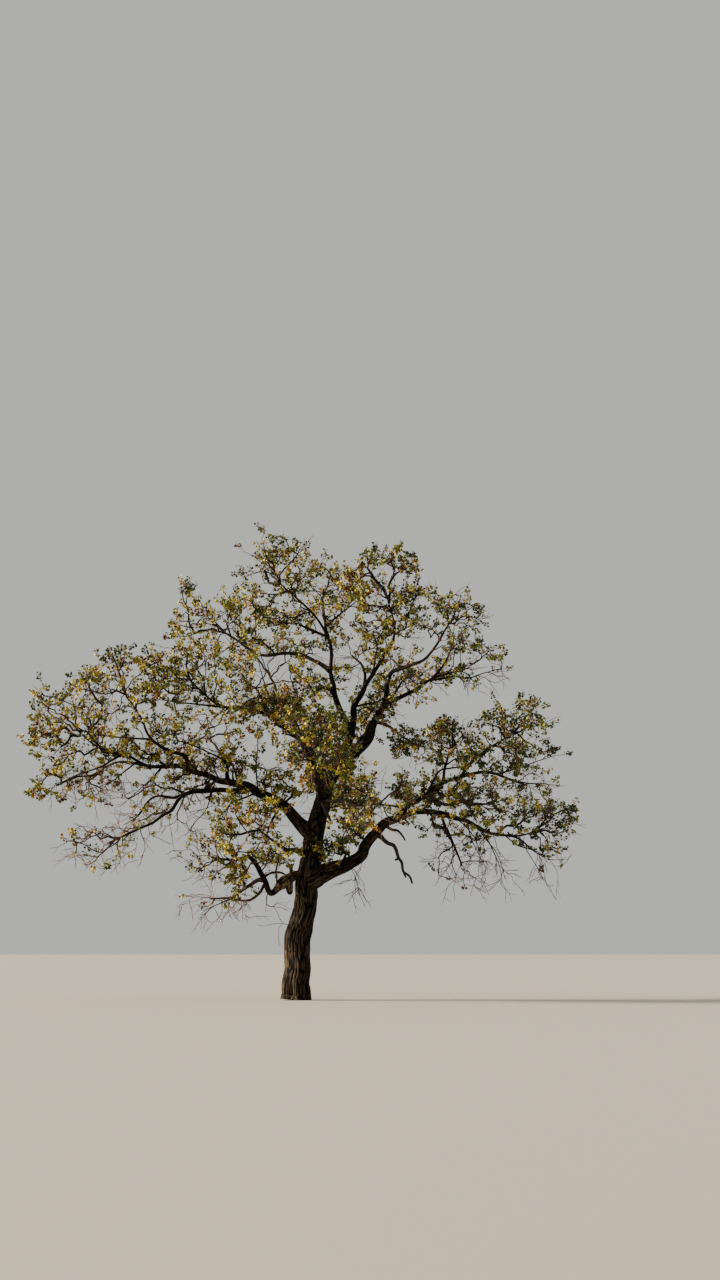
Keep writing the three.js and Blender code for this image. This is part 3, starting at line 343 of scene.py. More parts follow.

# Where leaves crowd on each bough: the middle of the clump, its radius, how many shoots it has, the share of
# them that keep their leaves, and its shade, painted into its leaves' tints, where that isn't the mass's own
Clump = namedtuple("Clump", "right back up radius shoots leafy shade", defaults=(None,))
CLUMPS = {
    "crown_left_bough": [
        (0.44, -0.4, 8.63, 0.4, 22, 0.9), (0.24, -0.2, 9.24, 0.34, 16, 0.85),
        (0.97, 0.2, 8.78, 0.34, 14, 0.8), (-0.85, -1.3, 12.28, 0.2, 15, 1),
        (-0.51, -1.4, 12.32, 0.2, 10, 1), (0.95, -0.3, 9.85, 0.28, 12, 0.7), (-0.75, -1.2, 12, 0.28, 14, 1),
        (-0.2, -1, 11.35, 0.28, 10, 1),
    ],
    "crown_bough": [
        (2.62, 0.35, 10.44, 0.4, 26, 0.9), (1.98, 0.3, 10.55, 0.34, 12, 0.9),
        (2.15, 0.2, 12.6, 0.31, 16, 1), (2.8, 0.4, 12.66, 0.28, 14, 1), (3.3, 0.6, 12.55, 0.28, 6, 1),
        (1.57, 0.4, 11.75, 0.28, 14, 0.9), (3.2, 0.3, 10.6, 0.34, 18, 0.8),
        (2.05, 0.1, 8, 0.28, 12, 0.8, 0.4), (1.7, 0.3, 12.1, 0.3, 12, 0.8), (3, 0.4, 11.5, 0.34, 18, 0.9),
    ],
    "crown_left_side_bough": [
        (-3.38, 1.6, 11.93, 0.2, 12, 1), (-1.96, 1, 11.09, 0.28, 14, 1), (0.35, 0.2, 9.9, 0.25, 9, 0.6),
        (-0.78, 0.7, 10, 0.28, 12, 0.7), (-1.3, 0.4, 11.5, 0.25, 8, 1), (-1.3, 0.6, 10.3, 0.28, 10, 0.8),
    ],
    "upper_right_riser": [(4.29, -2.2, 10.71, 0.37, 22, 0.95), (4.85, -2, 10.64, 0.26, 14, 0.95)],
    "upper_right_spur": [(3.03, -1.1, 7.07, 0.34, 36, 1, 1)],
    "right_inner_riser": [
        (4.3, 1.3, 7.72, 0.32, 44, 1, 1), (4, 1.1, 7.38, 0.31, 20, 1, 1), (4.9, 0.8, 6.9, 0.3, 14, 1, 0.9),
    ],
    "right_riser": [
        (5.65, -1.2, 7.72, 0.42, 30, 1, 1), (6.4, -1.5, 7.75, 0.36, 22, 1, 1),
        (6.27, -0.9, 6.73, 0.31, 12, 0.9), (7.05, -1.3, 6.85, 0.2, 7, 1, 1),
        (6, -0.8, 6.95, 0.32, 14, 1, 0.9), (6.1, -0.6, 6.4, 0.28, 10, 1, 0.8),
        (6, -1, 7.35, 0.3, 14, 1, 0.9),
    ],
    "right_upper_bough": [
        (3.06, 0.4, 5.81, 0.31, 22, 0.85), (3.81, 0.6, 5.91, 0.37, 36, 0.85),
        (4.56, 0.7, 5.84, 0.37, 30, 0.85), (5.55, 1.3, 6.55, 0.3, 14, 0.8, 0.8),
        (5.4, 0.8, 5.8, 0.28, 10, 0.8, 0.8),
    ],
    "right_bough": [
        (7.17, 0, 5.21, 0.34, 18, 1, 0.9), (7.78, 0.1, 5.22, 0.2, 7, 1), (7.51, -0.2, 4.8, 0.23, 12, 1),
        (1.2, -0.3, 4.2, 0.31, 24, 0.95, -0.1), (1.58, 0.2, 4.72, 0.34, 18, 0.9),
        (0.85, -0.3, 4.1, 0.28, 18, 0.9, -0.2), (3.78, 0.1, 5.38, 0.28, 14, 0.8, 0.6),
        (4.34, -0.1, 4.75, 0.3, 12, 0.3, 0.4), (4.9, 0.1, 4.65, 0.3, 12, 0.4, 0.4),
        (5.45, 0.1, 4.6, 0.28, 10, 0.5, 0.5), (4.9, 0.1, 5.25, 0.3, 14, 0.8, 0.7),
        (3.8, 0.1, 4.75, 0.25, 8, 0.6, 0.4), (6.6, 0, 5.2, 0.28, 12, 0.9, 0.8),
    ],
    "front_right_bough": [
        (1.58, -1.2, 4.85, 0.43, 26, 0.6), (1.86, -1.5, 5.26, 0.37, 16, 0.6), (1.5, -1, 5.75, 0.3, 14, 0.8),
    ],
    "left_under_bough": [(-7.5, 1, 6.03, 0.26, 14, 1), (-6.97, 1.2, 6.46, 0.28, 10, 0.9)],
    "left_bough": [
        (-1.87, -0.2, 6.49, 0.34, 18, 0.5), (-1.16, 0.2, 6.36, 0.34, 14, 0.35),
        (-4.21, 0.4, 7.01, 0.37, 20, 0.7), (-4.76, -0.3, 7.11, 0.31, 14, 0.8),
        (-3.02, 0.1, 5.78, 0.34, 12, 0.4), (-3.84, 0.3, 5.91, 0.34, 12, 0.1),
        (-4.7, 0.4, 5.81, 0.34, 10, 0.1), (-0.7, 0.2, 6.25, 0.28, 12, 0.2),
        (-0.3, 0.1, 5.95, 0.28, 14, 0.3), (-3.6, 0.1, 6.6, 0.3, 14, 0.5), (-3, -0.1, 6.55, 0.3, 16, 0.45),
        (-2.45, 0.1, 6.45, 0.28, 12, 0.4), (-4.2, 0.2, 6.65, 0.28, 12, 0.6),
        (-2.45, 0.2, 5.85, 0.3, 14, 0.6), (-6.9, 0, 7.55, 0.4, 24, 1), (-7.4, 0.1, 7.5, 0.22, 8, 1),
        (-5.9, 0, 9.1, 0.25, 14, 1), (-5.9, 0.2, 8.15, 0.28, 12, 1), (-0.75, 0, 5.8, 0.28, 12, 0.5),
        (-3, 0.3, 6.35, 0.28, 14, 0.6), (-3.6, 0.2, 6.3, 0.28, 12, 0.6), (-6.4, 0.2, 6.95, 0.28, 12, 0.8),
        (-0.2, 0.2, 5.75, 0.25, 10, 0.5), (-4.7, 0.1, 6.9, 0.28, 12, 0.8), (-5.3, 0.1, 6.95, 0.3, 14, 0.8),
    ],
    "low_left_bough": [
        (-1.5, -1, 3.59, 0.31, 18, 0.8), (-0.92, -0.6, 3.78, 0.26, 16, 0.9),
        (-0.4, -0.4, 3.81, 0.23, 12, 0.9),
    ],
    "low_left_fork": [(-1.67, -0.1, 3.19, 0.31, 14, 0.6)],
    "front_bough": [
        (0.85, -3.6, 6.73, 0.37, 26, 1), (1.16, -3.2, 7.05, 0.31, 18, 1), (1.3, -3, 6.37, 0.31, 18, 1),
        (0.95, -3, 6.05, 0.31, 14, 0.8), (0.45, -1, 5.8, 0.28, 12, 0.3), (0.45, -1, 6.3, 0.3, 14, 0.8),
        (0.95, -3, 7.3, 0.3, 14, 1),
    ],
    "upper_left_bough": [
        (-3.19, -1.4, 7.87, 0.23, 8, 0.8), (-3.57, -1.6, 8.69, 0.28, 14, 0.9),
        (-3.97, -2, 9.02, 0.28, 12, 1), (-3.15, -2, 8.96, 0.34, 18, 1), (-2.95, -1.8, 9.35, 0.34, 18, 1),
        (-1.3, -1, 7.95, 0.3, 14, 0.9),
    ],
    "left_hanger": [(-3.89, -0.6, 5.16, 0.31, 12, 0.25), (-4.61, -1, 4.75, 0.34, 16, 0.35)],
    "left_riser": [
        (-3.9, -2.5, 8.33, 0.34, 20, 1), (-3.75, -1, 7.4, 0.3, 12, 0.8), (-4.1, -2, 8.3, 0.28, 12, 1),
    ],
    "upper_right_bough": [(2.6, 0.1, 8.1, 0.25, 12, 0.6, 0.6)],
    "low_front_bough": [
        (-1.7, -2.4, 4.5, 0.35, 18, 0.8), (-1.65, -2.3, 4.05, 0.3, 12, 0.8),
        (-0.1, -1.2, 4.1, 0.28, 12, 0.8),
    ],
    "upper_left_front_bough": [(-0.4, -2.9, 7.75, 0.4, 28, 1, 0.6), (-0.1, -2.5, 7.8, 0.35, 20, 1)],
    "crown_back_bough": [(0.9, 2, 12.4, 0.28, 14, 1)],
    "back_low_bough": [
        (0.77, 2, 6.36, 0.42, 22, 1), (1.14, 3, 6.75, 0.45, 26, 1), (1.56, 3.4, 6.07, 0.42, 22, 1),
        (1.07, 2.3, 5.59, 0.36, 14, 1),
    ],
    "back_left_bough": [
        (0.4, 1.5, 7.19, 0.4, 20, 1), (0.01, 2.6, 8.1, 0.45, 24, 1), (-0.4, 3.6, 8.9, 0.42, 18, 1),
    ],
    "back_right_bough": [
        (1.57, 1.6, 7.59, 0.36, 14, 1), (2.04, 2.3, 8.27, 0.4, 18, 1), (2.65, 3.1, 9.14, 0.4, 16, 1),
    ],
    "left_back_bough": [(-2.67, 0.9, 6.55, 0.3, 10, 0.8), (-3.18, 1.6, 6.7, 0.3, 12, 0.9)],
}

# Where the sky shows through the crown from where the viewer stands: (right, up, radius, share of the shoots
# that are missing there) in the plane through the trunk
SKY = [
    (-0.8, 6.65, 0.35, 1), (-0.25, 4.75, 0.35, 1), (1.2, 8.9, 0.33, 0.8), (2.6, 6.4, 0.35, 1),
    (2.95, 7.25, 0.45, 1), (-0.75, 9.7, 0.35, 1), (1.75, 10.6, 0.4, 1), (3.2, 7.9, 0.45, 1),
    (4.3, 8.2, 0.5, 1), (0.95, 9.7, 0.25, 1), (-3.4, 6.15, 0.3, 0.5), (-2.3, 5.95, 0.3, 1),
    (-0.72, 9.21, 0.62, 1), (-5.97, 8.69, 0.51, 0.5), (-5.5, 8.06, 0.43, 0.5), (-6.83, 8.69, 0.4, 0.6),
    (-3.09, 7.48, 0.45, 0.5), (2.55, 8.92, 0.57, 0.35), (3.01, 9.71, 0.34, 0.4), (3.53, 9.85, 0.48, 0.7),
    (5.18, 9.21, 0.34, 0.7), (5.91, 5.83, 0.37, 0.6), (6.67, 5.66, 0.28, 0.4), (5.92, 4.65, 0.4, 0.3),
    (-1.13, 5.21, 0.45, 0.35), (6.48, 3.92, 0.28, 0.6), (4.2, 4.09, 0.34, 0.4), (-5.23, 4.09, 0.34, 0.6),
    (-0.19, 7.2, 0.26, 0.7), (-0.87, 13.68, 0.37, 1), (0, 13.56, 0.34, 1), (-2.07, 12.26, 0.34, 0.7),
    (1.15, 5.18, 0.2, 1), (6.64, 7.25, 0.34, 0.4), (4.72, 8.4, 0.4, 0.7), (-4.19, 8.4, 0.34, 0.3),
    (1.5, 3.6, 0.28, 1), (1.95, 4, 0.3, 1), (2.2, 4.4, 0.28, 0.7), (2.6, 4.75, 0.3, 1),
    (3.15, 4.75, 0.25, 1), (-5.03, 7.54, 0.4, 0.6), (2.65, 5.83, 0.4, 1), (-2.46, 6.97, 0.3, 0.8),
    (4.5, 8.55, 0.4, 1), (2.67, 12.79, 0.25, 0.4), (-1.5, 12.79, 0.3, 1), (-2.49, 9.27, 0.35, 0.6),
    (6.59, 4.14, 0.4, 0.8), (6.03, 4.14, 0.3, 0.5), (-6.42, 6.4, 0.34, 0.8), (4.36, 6.4, 0.3, 0.8),
    (3.23, 7.54, 0.25, 0.7), (1.52, 11.02, 0.3, 0.5), (-1.85, 3.58, 0.3, 0.8), (6.09, 8.3, 0.25, 0.5),
    (2.67, 9.85, 0.3, 0.4), (-0.73, 4.7, 0.3, 0.5), (3.5, 6.4, 0.4, 0.6), (2.66, 6.97, 0.45, 1),
    (0.37, 9.27, 0.3, 0.5), (1.52, 9.85, 0.28, 1), (-3.05, 8.12, 0.3, 0.9), (7.19, 5.83, 0.25, 0.5),
    (5.51, 8.3, 0.32, 0.7), (3.81, 8.69, 0.3, 0.6), (-4.4, 4.14, 0.45, 0.8), (1.52, 10.43, 0.3, 0.6),
    (4.33, 3.58, 0.3, 0.6), (3.81, 9.85, 0.35, 0.8), (5.53, 9.27, 0.35, 0.7), (-1.38, 12.2, 0.3, 0.6),
    (-7.01, 6.97, 0.3, 0.5), (4.39, 10.43, 0.28, 0.5), (3.4, 12.9, 0.3, 0.6), (-0.79, 11.02, 0.28, 0.4),
    (7.8, 5.5, 0.25, 0.4), (-0.25, 8.75, 0.3, 0.8), (-0.21, 11.02, 0.3, 0.6), (6.64, 6.97, 0.28, 0.5),
    (2.09, 10.43, 0.28, 0.5), (6.09, 8.75, 0.35, 1), (-4.17, 6.97, 0.28, 0.6), (-3.65, 9.85, 0.3, 0.5),
    (5.8, 8.12, 0.35, 0.4), (2.09, 9.27, 0.28, 0.5), (2.85, 4.95, 0.3, 0.8), (-7.9, 8.1, 0.3, 0.6),
    (-2.47, 7.54, 0.28, 0.7), (5.47, 4.14, 0.25, 0.5), (2.09, 7.54, 0.28, 0.6), (4.39, 9.85, 0.28, 0.5),
    (-1.86, 4.14, 0.28, 0.5), (-3.67, 11.1, 0.3, 1), (-0.73, 4.14, 0.25, 0.4), (6.04, 5.27, 0.25, 0.6),
    (-3.62, 8.12, 0.28, 0.6), (1.9, 7.9, 0.25, 0.5), (6.65, 7.54, 0.25, 0.6),
]

# The burl on the low left bough is painted tan for this far round its middle: partly bared wood where it has
# shed its cork, and partly painted light where the sun falls on it
BURL = {"middle": (-0.35, -0.3, 3.12), "spread": 0.38}

# Where the viewer stands and how the view is set
VIEWER = {
    "right": 1.8046, "back": -50.338, "eye": 1.45, "tilt": 9.7976, "lens": 50, "sensor": 36, "far_end": 2000,
}

# The measures of shoots, bark, leaves and light

# A twig between two joints: how far it bows out along the heading that it leaves by, as a share of its
# length, and the length past which it wanders no further
BOW = {"arch": 0.16, "wander_up_to": 0.5}

# Shoots in a mass. Those at its sprays start from this share of the blade. The others lie between these
# shares of the volume of the space, where the clumps' field is high, and all keep this far inside the rim.
SPOTS = {"blade_from": 0.05, "volume_from": 0.12, "volume_to": 0.85, "field": 0.5, "rim_room": 0.13}

# Shoots beside a limb: on which stretch of a finer branch, how far off, and how much rather above than below
BESIDE_BOUGH = {"room": (0.2, 0.9), "rise": 0.7}
UNDER_BOUGH = {"room": (0.25, 0.75), "rise": -2.2}
LEAFY_ON_BRANCH = {"first": 0.25, "last": 1, "room": (0.05, 0.5), "rise": 0.6}
BARE_ON_BRANCH = {"first": 0.2, "last": 1, "room": (0.1, 0.5), "rise": -1}

# The foot of a bough bears nothing: this share of it, or this length where that is less. From there its
# joints lie this many twig spacings apart, up to near its tip.
BARE_FOOT = {"share": 0.4, "length": 1.1, "branch_share": 0.15}
LIMB_JOINTS = {"spacing": 1.5, "last": 0.98}

# A shoot has two halves. A leafy one lifts and a bare one droops and forks, and each part strays a little.
SHOOT = {
    "lengths": (0.7, 1.3), "lift": 0.35, "droop": -0.25, "stray": 0.3, "onward_stray": 0.2,
    "fork_stray": 0.6, "fork_length": 0.45,
}

# How thick a side twig is at most beside the one that it springs from, how thick a twig's very end is, and
# how fast a branch thins
TWIG_ENDS = {"side_share": 0.8, "tip_share": 0.5}
BRANCH_THINNING = 0.8

# Shoots nearer to a mass's heart than this share of its reach are shaded, with half the leaves
INNER_REACH = 0.7

# Where the seeds of each kind of growth start
SEEDS = {"boughs": 100, "branches": 500, "leaves": 900}

# A limb's skin. Its mesh is set by how thick the limb is at its foot, this share of its length. A limb
# thicker than stout has the trunk's own fine mesh, and the others a mesh this much coarser, with longer faces
# under slender and a spacing of its own under thin. Furrows keep their width and depth on a limb as thick as
# stout and shrink on thinner ones.
SKIN = {
    "stout": 0.3, "coarser": 1.28, "slender": 0.2, "thin": 0.1, "thin_spacing": 0.06, "fewest": 6,
    "foot": 0.05, "crook_every": 0.4, "crook_radius": 0.12, "least_width": 0.35, "least_depth": 0.12,
    "bend_size": 0.4, "bend": (0.9, 0.9, 0.5), "ridge_share": 0.75, "fleck_size": 2.7,
    "lump_size": (0.35, 0.35, 0.7), "lump_height": 0.22, "ridge_rise": 0.3,
}

# A leaf's outline as shares of the blade's width and length, with how its blade hangs and folds
LEAF = {"droop": 30, "fold": 0.22, "stalk_half": 0.0016, "shoulder": (0.5, 0.14), "flank": (0.34, 0.52)}

# How leaves stand on a shoot: where the first springs, the turn from each to the next, and how they lean
SETTING = {
    "first": 0.1, "turn": 137.5, "turn_stray": 0.3, "along": 0.45, "away": 0.8, "stray": 0.25, "hang": 0.5,
    "face_up": 0.35, "sizes": (0.75, 1.2),
}

# The shares of the tints, from deep green to brown, on lit shoots and on shaded ones, and how many times as
# often each comes near a mass's heart. Lit shoots get more yellow olive and gold and shaded ones more deep
# green: painted light and shade, dealt on top of the tree's own mix of autumn tints.
LIT_TINTS = np.array([0.07, 0.4, 0.38, 0.055, 0.035, 0.06])
SHADED_TINTS = np.array([0.6, 0.28, 0.04, 0.01, 0.02, 0.05])
INNER_TINTS = np.array([1, 1, 0.6, 1, 2.5, 3])

# Tints turn in patches of this size, with smaller ones in them that count for less. The nearer a mass is to
# lit or deep shade as a whole, the less its patches stand out.
PATCH = {"size": 1.1, "small_size": 0.4, "small_height": 0.6, "contrast": 1.7}

# The roughness of each tint: thin waxy blades have a little sheen when green, and none when dry
LEAF_ROUGHNESS = {
    "deep_green": 0.5, "olive": 0.55, "yellow_olive": 0.6, "gold": 0.65, "russet": 0.75, "brown": 0.8,
}

# The key light's width and its turn round each axis, in degrees
KEY_LIGHT = {"angle": 12, "turn": (71, 0, -92)}

# Geometry


def chance(seed, turn):
    """A repeatable number from 0 to 1 for each seed and turn."""
    # The fraction of a large sine, with the same factors as in the solid model
    wave = math.sin(seed * 12.9898 + turn * 78.233) * 43758.5453
    return wave - math.floor(wave)


def noise(points, seed):
    """A smooth field from 0 to 1 over points, whose hills are about one unit apart."""
    cell = np.floor(points).astype(np.int64)
    part = points - cell
    part = part * part * (3 - 2 * part)
    total = np.zeros(len(points))
    for corner in itertools.product((0, 1), repeat=3):
        x, y, z = (cell + corner).T
        # Large odd factors scramble a corner's three numbers into one
        mixed = (x * 73856093) ^ (y * 19349663) ^ (z * 83492791) ^ (seed * 2654435761)
        mixed = ((mixed ^ (mixed >> 13)) * 1274126177) & 0xFFFFFFFF
        mixed = ((mixed ^ (mixed >> 15)) * 2246822519) & 0xFFFFFFFF
        total += (mixed >> 12 & 0xFFFF) / 65535 * np.prod(np.where(corner, part, 1 - part), axis=1)
    return total


def unit(vectors):
    """Vectors at length 1."""
    length = np.linalg.norm(vectors, axis=-1, keepdims=True)
    return vectors / np.maximum(length, 1e-9)


class Curve:
    """A centripetal Catmull-Rom curve through bends, read by shares of its length."""

    PARTS = 200

    def __init__(self, bends):
        bends = np.array(bends, float)
        self.bends = bends
        ends = np.vstack([2 * bends[0] - bends[1], bends, 2 * bends[-1] - bends[-2]])
        a, b, c, d = ends[:-3], ends[1:-2], ends[2:-1], ends[3:]
        gaps = (np.linalg.norm(gap, axis=1, keepdims=True) for gap in (b - a, c - b, d - c))
        ab, bc, cd = map(np.sqrt, gaps)
        leaving = ((b - a) / ab - (c - a) / (ab + bc) + (c - b) / bc) * bc
        arriving = ((c - b) / bc - (d - b) / (bc + cd) + (d - c) / cd) * bc
        self.powers = (b, leaving, 3 * (c - b) - 2 * leaving - arriving, 2 * (b - c) + leaving + arriving)
        self.turns = np.linspace(0, 1, self.PARTS + 1)
        steps = np.linalg.norm(np.diff(self.point(self.turns), axis=0), axis=1)
        self.runs = np.concatenate([[0], np.cumsum(steps)])
        self.length = self.runs[-1]

    def point(self, turn):
        spans = len(self.bends) - 1
        scaled = np.asarray(turn, float) * spans
        span = np.minimum(np.floor(scaled).astype(int), spans - 1)
        part = (scaled - span)[..., None]
        one, two, three, four = (power[span] for power in self.powers)
        return one + part * (two + part * (three + part * four))

    def at(self, share):
        return self.point(np.interp(np.asarray(share) * self.length, self.runs, self.turns))

    def nearest_share(self, point):
        shares = np.arange(SEARCH["parts"] + 1) / SEARCH["parts"]
        return shares[np.argmin(np.linalg.norm(self.at(shares) - point, axis=1))]


# The growing rule, as in the solid model

Mass = namedtuple("Mass", "name heart reach size seed")
Limb = namedtuple("Limb", "name curve radius_at stations end mass")
Spray = namedtuple("Spray", "at source way root tip half")


def trunk_radius(share, height):
    swell = TRUNK["flare"] * np.exp(-np.maximum(height, 0) / TRUNK["flare_height"])
    thin = (TRUNK["foot_radius"] - TRUNK["fork_radius"]) * share ** TRUNK["taper"]
    return TRUNK["foot_radius"] - thin + swell


def trunk_limb():
    curve = Curve(TRUNK["bends"])

    def radius_at(share):
        return trunk_radius(np.asarray(share), curve.at(share)[..., 2])

    shares = np.arange(TRUNK["steps"] + 1) / TRUNK["steps"]
    return Limb("trunk", curve, radius_at, (curve.at(shares), radius_at(shares)), 1, None)


def border_room(mass, point, masses):
    """How far a point lies inside its mass's space, which flat borders part from its neighbours' spaces."""
    hearts = np.array([other.heart for other in masses if other is not mass])
    sizes = np.array([other.size for other in masses if other is not mass])
    mine = np.sum((point - mass.heart) ** 2) - mass.size**2
    theirs = np.sum((point - hearts) ** 2, axis=1) - sizes**2
    return np.min((theirs - mine) / (2 * np.linalg.norm(hearts - mass.heart, axis=1)))


def rim_room(mass, point):
    """How far a point lies inside the rounded rim of its mass."""
    offset = (point - mass.heart) / mass.reach
    share = np.linalg.norm(offset, axis=-1)
    return (1 - share) * share / np.maximum(np.linalg.norm(offset / mass.reach, axis=-1), 1e-9)


def entry_share(mass, curve, radius_at, masses):
    """Where a limb's line enters its foliage for good."""
    for i in range(SEARCH["parts"] - 1, 0, -1):
        share = i / SEARCH["parts"]
        point = curve.at(share)
        inside = min(border_room(mass, point, masses), rim_room(mass, point))
        if inside < radius_at(share) + GROWTH["stem_room"]:
            return share
    return 0


def bough_limb(row, limbs, masses):
    parent = limbs[row.parent]
    root_share = parent.curve.nearest_share(row.start)
    mass = next((mass for mass in masses if mass.name == row.name), None)
    line = [parent.curve.at(root_share), *row.bends, *([row.heart] if mass else [])]
    curve = Curve(line)
    tip = BOUGH["heart_radius"] if mass else BOUGH["dead_tip_radius"]
    hidden = parent.radius_at(root_share)
    burl, swell, spread = row.knot or (line[0], 0, 1)
    burl_run = curve.length * curve.nearest_share(burl)

    def radius_at(share):
        share = np.asarray(share, float)
        body = tip + (row.radius - tip) * (1 - share) ** (row.thinning or BOUGH["thinning"])
        outside = np.maximum(0, share * curve.length - hidden)
        collar = BOUGH["collar"] * np.exp(-outside / (BOUGH["collar_radii"] * row.radius))
        return body * (1 + collar) + swell * np.exp(-(((share * curve.length - burl_run) / spread) ** 2))

    end = entry_share(mass, curve, radius_at, masses) if mass else 1
    count = row.stations or max(BOUGH["fewest_stations"], round(end * curve.length / BOUGH["station_every"]))
    shares = end * np.arange(count + 1) / count
    return Limb(row.name, curve, radius_at, (curve.at(shares), radius_at(shares)), end, mass)


def limb_checks(limbs):
    """Points along every limb, with the radius that keeps clear of it."""
    points, radii = [], []
    for limb in limbs.values():
        at, radius = limb.stations
        for i in range(1, len(at)):
            checks = math.ceil(np.linalg.norm(at[i] - at[i - 1]) / SEARCH["step"])
            shares = np.arange(checks + 1)[:, None] / checks
            points.append(at[i - 1] + shares * (at[i] - at[i - 1]))
            radii.append(np.full(checks + 1, max(radius[i - 1], radius[i])))
    return np.vstack(points), np.concatenate(radii)


def clear_of_limbs(start, end, radius, checks):
    """Whether a straight rod of this radius stays clear of every limb."""
    points, radii = checks
    rod = end - start
    share = np.clip((points - start) @ rod / max(rod @ rod, 1e-12), 0, 1)
    gaps = np.linalg.norm(start + share[:, None] * rod - points, axis=1)
    return bool(np.all(gaps >= radii + radius))


def spray_places(mass, stem, masses):
    """Places for sprays, spread evenly: each is the one of several tries furthest from those before it."""
    places, turn = [], 0
    for _ in range(GROWTH["sprays"]):
        best, best_gap = None, 0
        for _ in range(GROWTH["tries"]):
            up = 2 * chance(mass.seed, turn) - 1
            around = 2 * math.pi * chance(mass.seed, turn + 1)
            inner = GROWTH["inner_share"]
            out = inner + (1 - inner) * math.sqrt(chance(mass.seed, turn + 2))
            turn += 3
            flat = math.sqrt(1 - up * up)
            way = np.array([flat * math.cos(around), flat * math.sin(around), up])
            point = mass.heart + way * out * mass.reach
            if min(border_room(mass, point, masses), rim_room(mass, point)) < GROWTH["rim_room"]:
                continue
            gap = np.min(np.linalg.norm(np.array([*places, *stem]) - point, axis=1))
            if gap > best_gap:
                best, best_gap = point, gap
        if best is not None:
            places.append(best)
    return places


def spray_to(mass, joint, spot, masses, checks):
    """The twig from a joint to a place, with its blade as large as fits, or None where none fits."""
    gap = np.linalg.norm(spot - joint.at)
    heading = (spot - joint.at) / gap
    for size in BLADE["sizes"]:
        length = BLADE["length"] * size
        half = BLADE["width"] * size / 2
        root = spot - heading * BLADE["behind"] * length
        shoulder = root + heading * BLADE["widest_at"] * length
        tip = root + heading * length
        has_twig = heading @ (root - joint.at) > 2 * GROWTH["twig_tip"]
        within = border_room(mass, shoulder, masses) > half + CLEARANCE
        within = within and border_room(mass, tip, masses) > CLEARANCE
        if not has_twig or not within or rim_room(mass, tip) < 0:
            continue
        clear = clear_of_limbs(joint.at, root, GROWTH["limb_room"], checks)
        if clear and clear_of_limbs(root, tip, half, checks):
            return root, tip, half, joint.way + gap
    return None


def grow_sprays(limb, masses, checks):
    """Joins each place to the stem or to a twig before it, by a short way that springs from low down."""
    mass = limb.mass
    onward = GROWTH["stem_share"] * np.arange(GROWTH["stem_stations"]) / (GROWTH["stem_stations"] - 1)
    stem = limb.curve.at(limb.end + (1 - limb.end) * onward)
    joints = [Spray(at, i - 1, np.linalg.norm(at - stem[0]), at, at, 0) for i, at in enumerate(stem)]
    waiting = spray_places(mass, stem, masses)
    while waiting:
        offers = []
        for w, spot in enumerate(waiting):
            for source, joint in enumerate(joints):
                gap = np.linalg.norm(joint.at - spot)
                if source > 0:
                    offers.append((gap + GROWTH["thrift"] * (joint.way + gap), w, source))
        offers.sort(key=lambda offer: offer[0])
        for _, w, source in offers:
            found = spray_to(mass, joints[source], waiting[w], masses, checks)
            if found:
                root, tip, half, way = found
                joints.append(Spray(root, source, way, root, tip, half))
                waiting.pop(w)
                break
        else:
            break
    return joints


# The finer growth


class Wood:
    """Wood that grows joint by joint. source is the joint that each one springs from, way how far it lies
    from where the wood starts, and drawn says whether its twig is drawn here or by the limb's own bark."""

    def __init__(self):
        self.at, self.source, self.way, self.heading, self.drawn, self.carries = ([] for _ in range(6))

    def add(self, at, source, drawn=True, carries=0):
        at = np.asarray(at, float)
        step = at - self.at[source] if source >= 0 else np.array([0.0, 0.0, 1.0])
        length = np.linalg.norm(step)
        self.at.append(at)
        self.source.append(source)
        self.way.append(self.way[source] + length if source >= 0 else 0.0)
        self.heading.append(step / max(length, 1e-9))
        self.drawn.append(drawn)
        self.carries.append(carries)
        return len(self.at) - 1

    def line(self, points, source):
        for point in points:
            source = self.add(point, source)
        return source

    def nearest(self, point):
        return int(np.argmin(np.linalg.norm(np.array(self.at) - point, axis=1)))


def bow(wood, source, end, spacing, crook, rng):
    """Points from a joint to end, which leave it along its own heading and wander a little on the way."""
    start = wood.at[source]
    step = end - start
    gap = np.linalg.norm(step)
    count = max(1, math.ceil(gap / spacing))
    along = step / max(gap, 1e-9)
    side = wood.heading[source] - (wood.heading[source] @ along) * along
    shares = np.arange(1, count + 1)[:, None] / count
    arch = 4 * shares * (1 - shares)
    wander = rng.normal(0, crook, (count, 3)) * min(gap, BOW["wander_up_to"])
    wander[-1] = 0
    return start + shares * step + arch * side * gap * BOW["arch"] + wander


def reach_spots(wood, spots, twigs, rng):
    """Joins each spot to the wood before it, by a short way that springs from low down and turns little."""
    best = np.full(len(spots), np.inf)
    source = np.zeros(len(spots), int)
    waiting = np.ones(len(spots), bool)
    ends = np.zeros(len(spots), int)
    known = 0
    for _ in range(len(spots)):
        for joint in range(known, len(wood.at)):
            away = spots - wood.at[joint]
            gap = np.linalg.norm(away, axis=1)
            turn = 1 - away @ wood.heading[joint] / np.maximum(gap, 1e-9)
            effort = gap * (1 + twigs.turning * turn + twigs.strain * gap)
            cost = effort + GROWTH["thrift"] * (wood.way[joint] + gap)
            better = cost < best
            best[better] = cost[better]
            source[better] = joint
        known = len(wood.at)
        spot = int(np.argmin(np.where(waiting, best, np.inf)))
        waiting[spot] = False
        points = bow(wood, source[spot], spots[spot], twigs.joint_spacing, twigs.crook, rng)
        ends[spot] = wood.line(points, source[spot])
    return ends


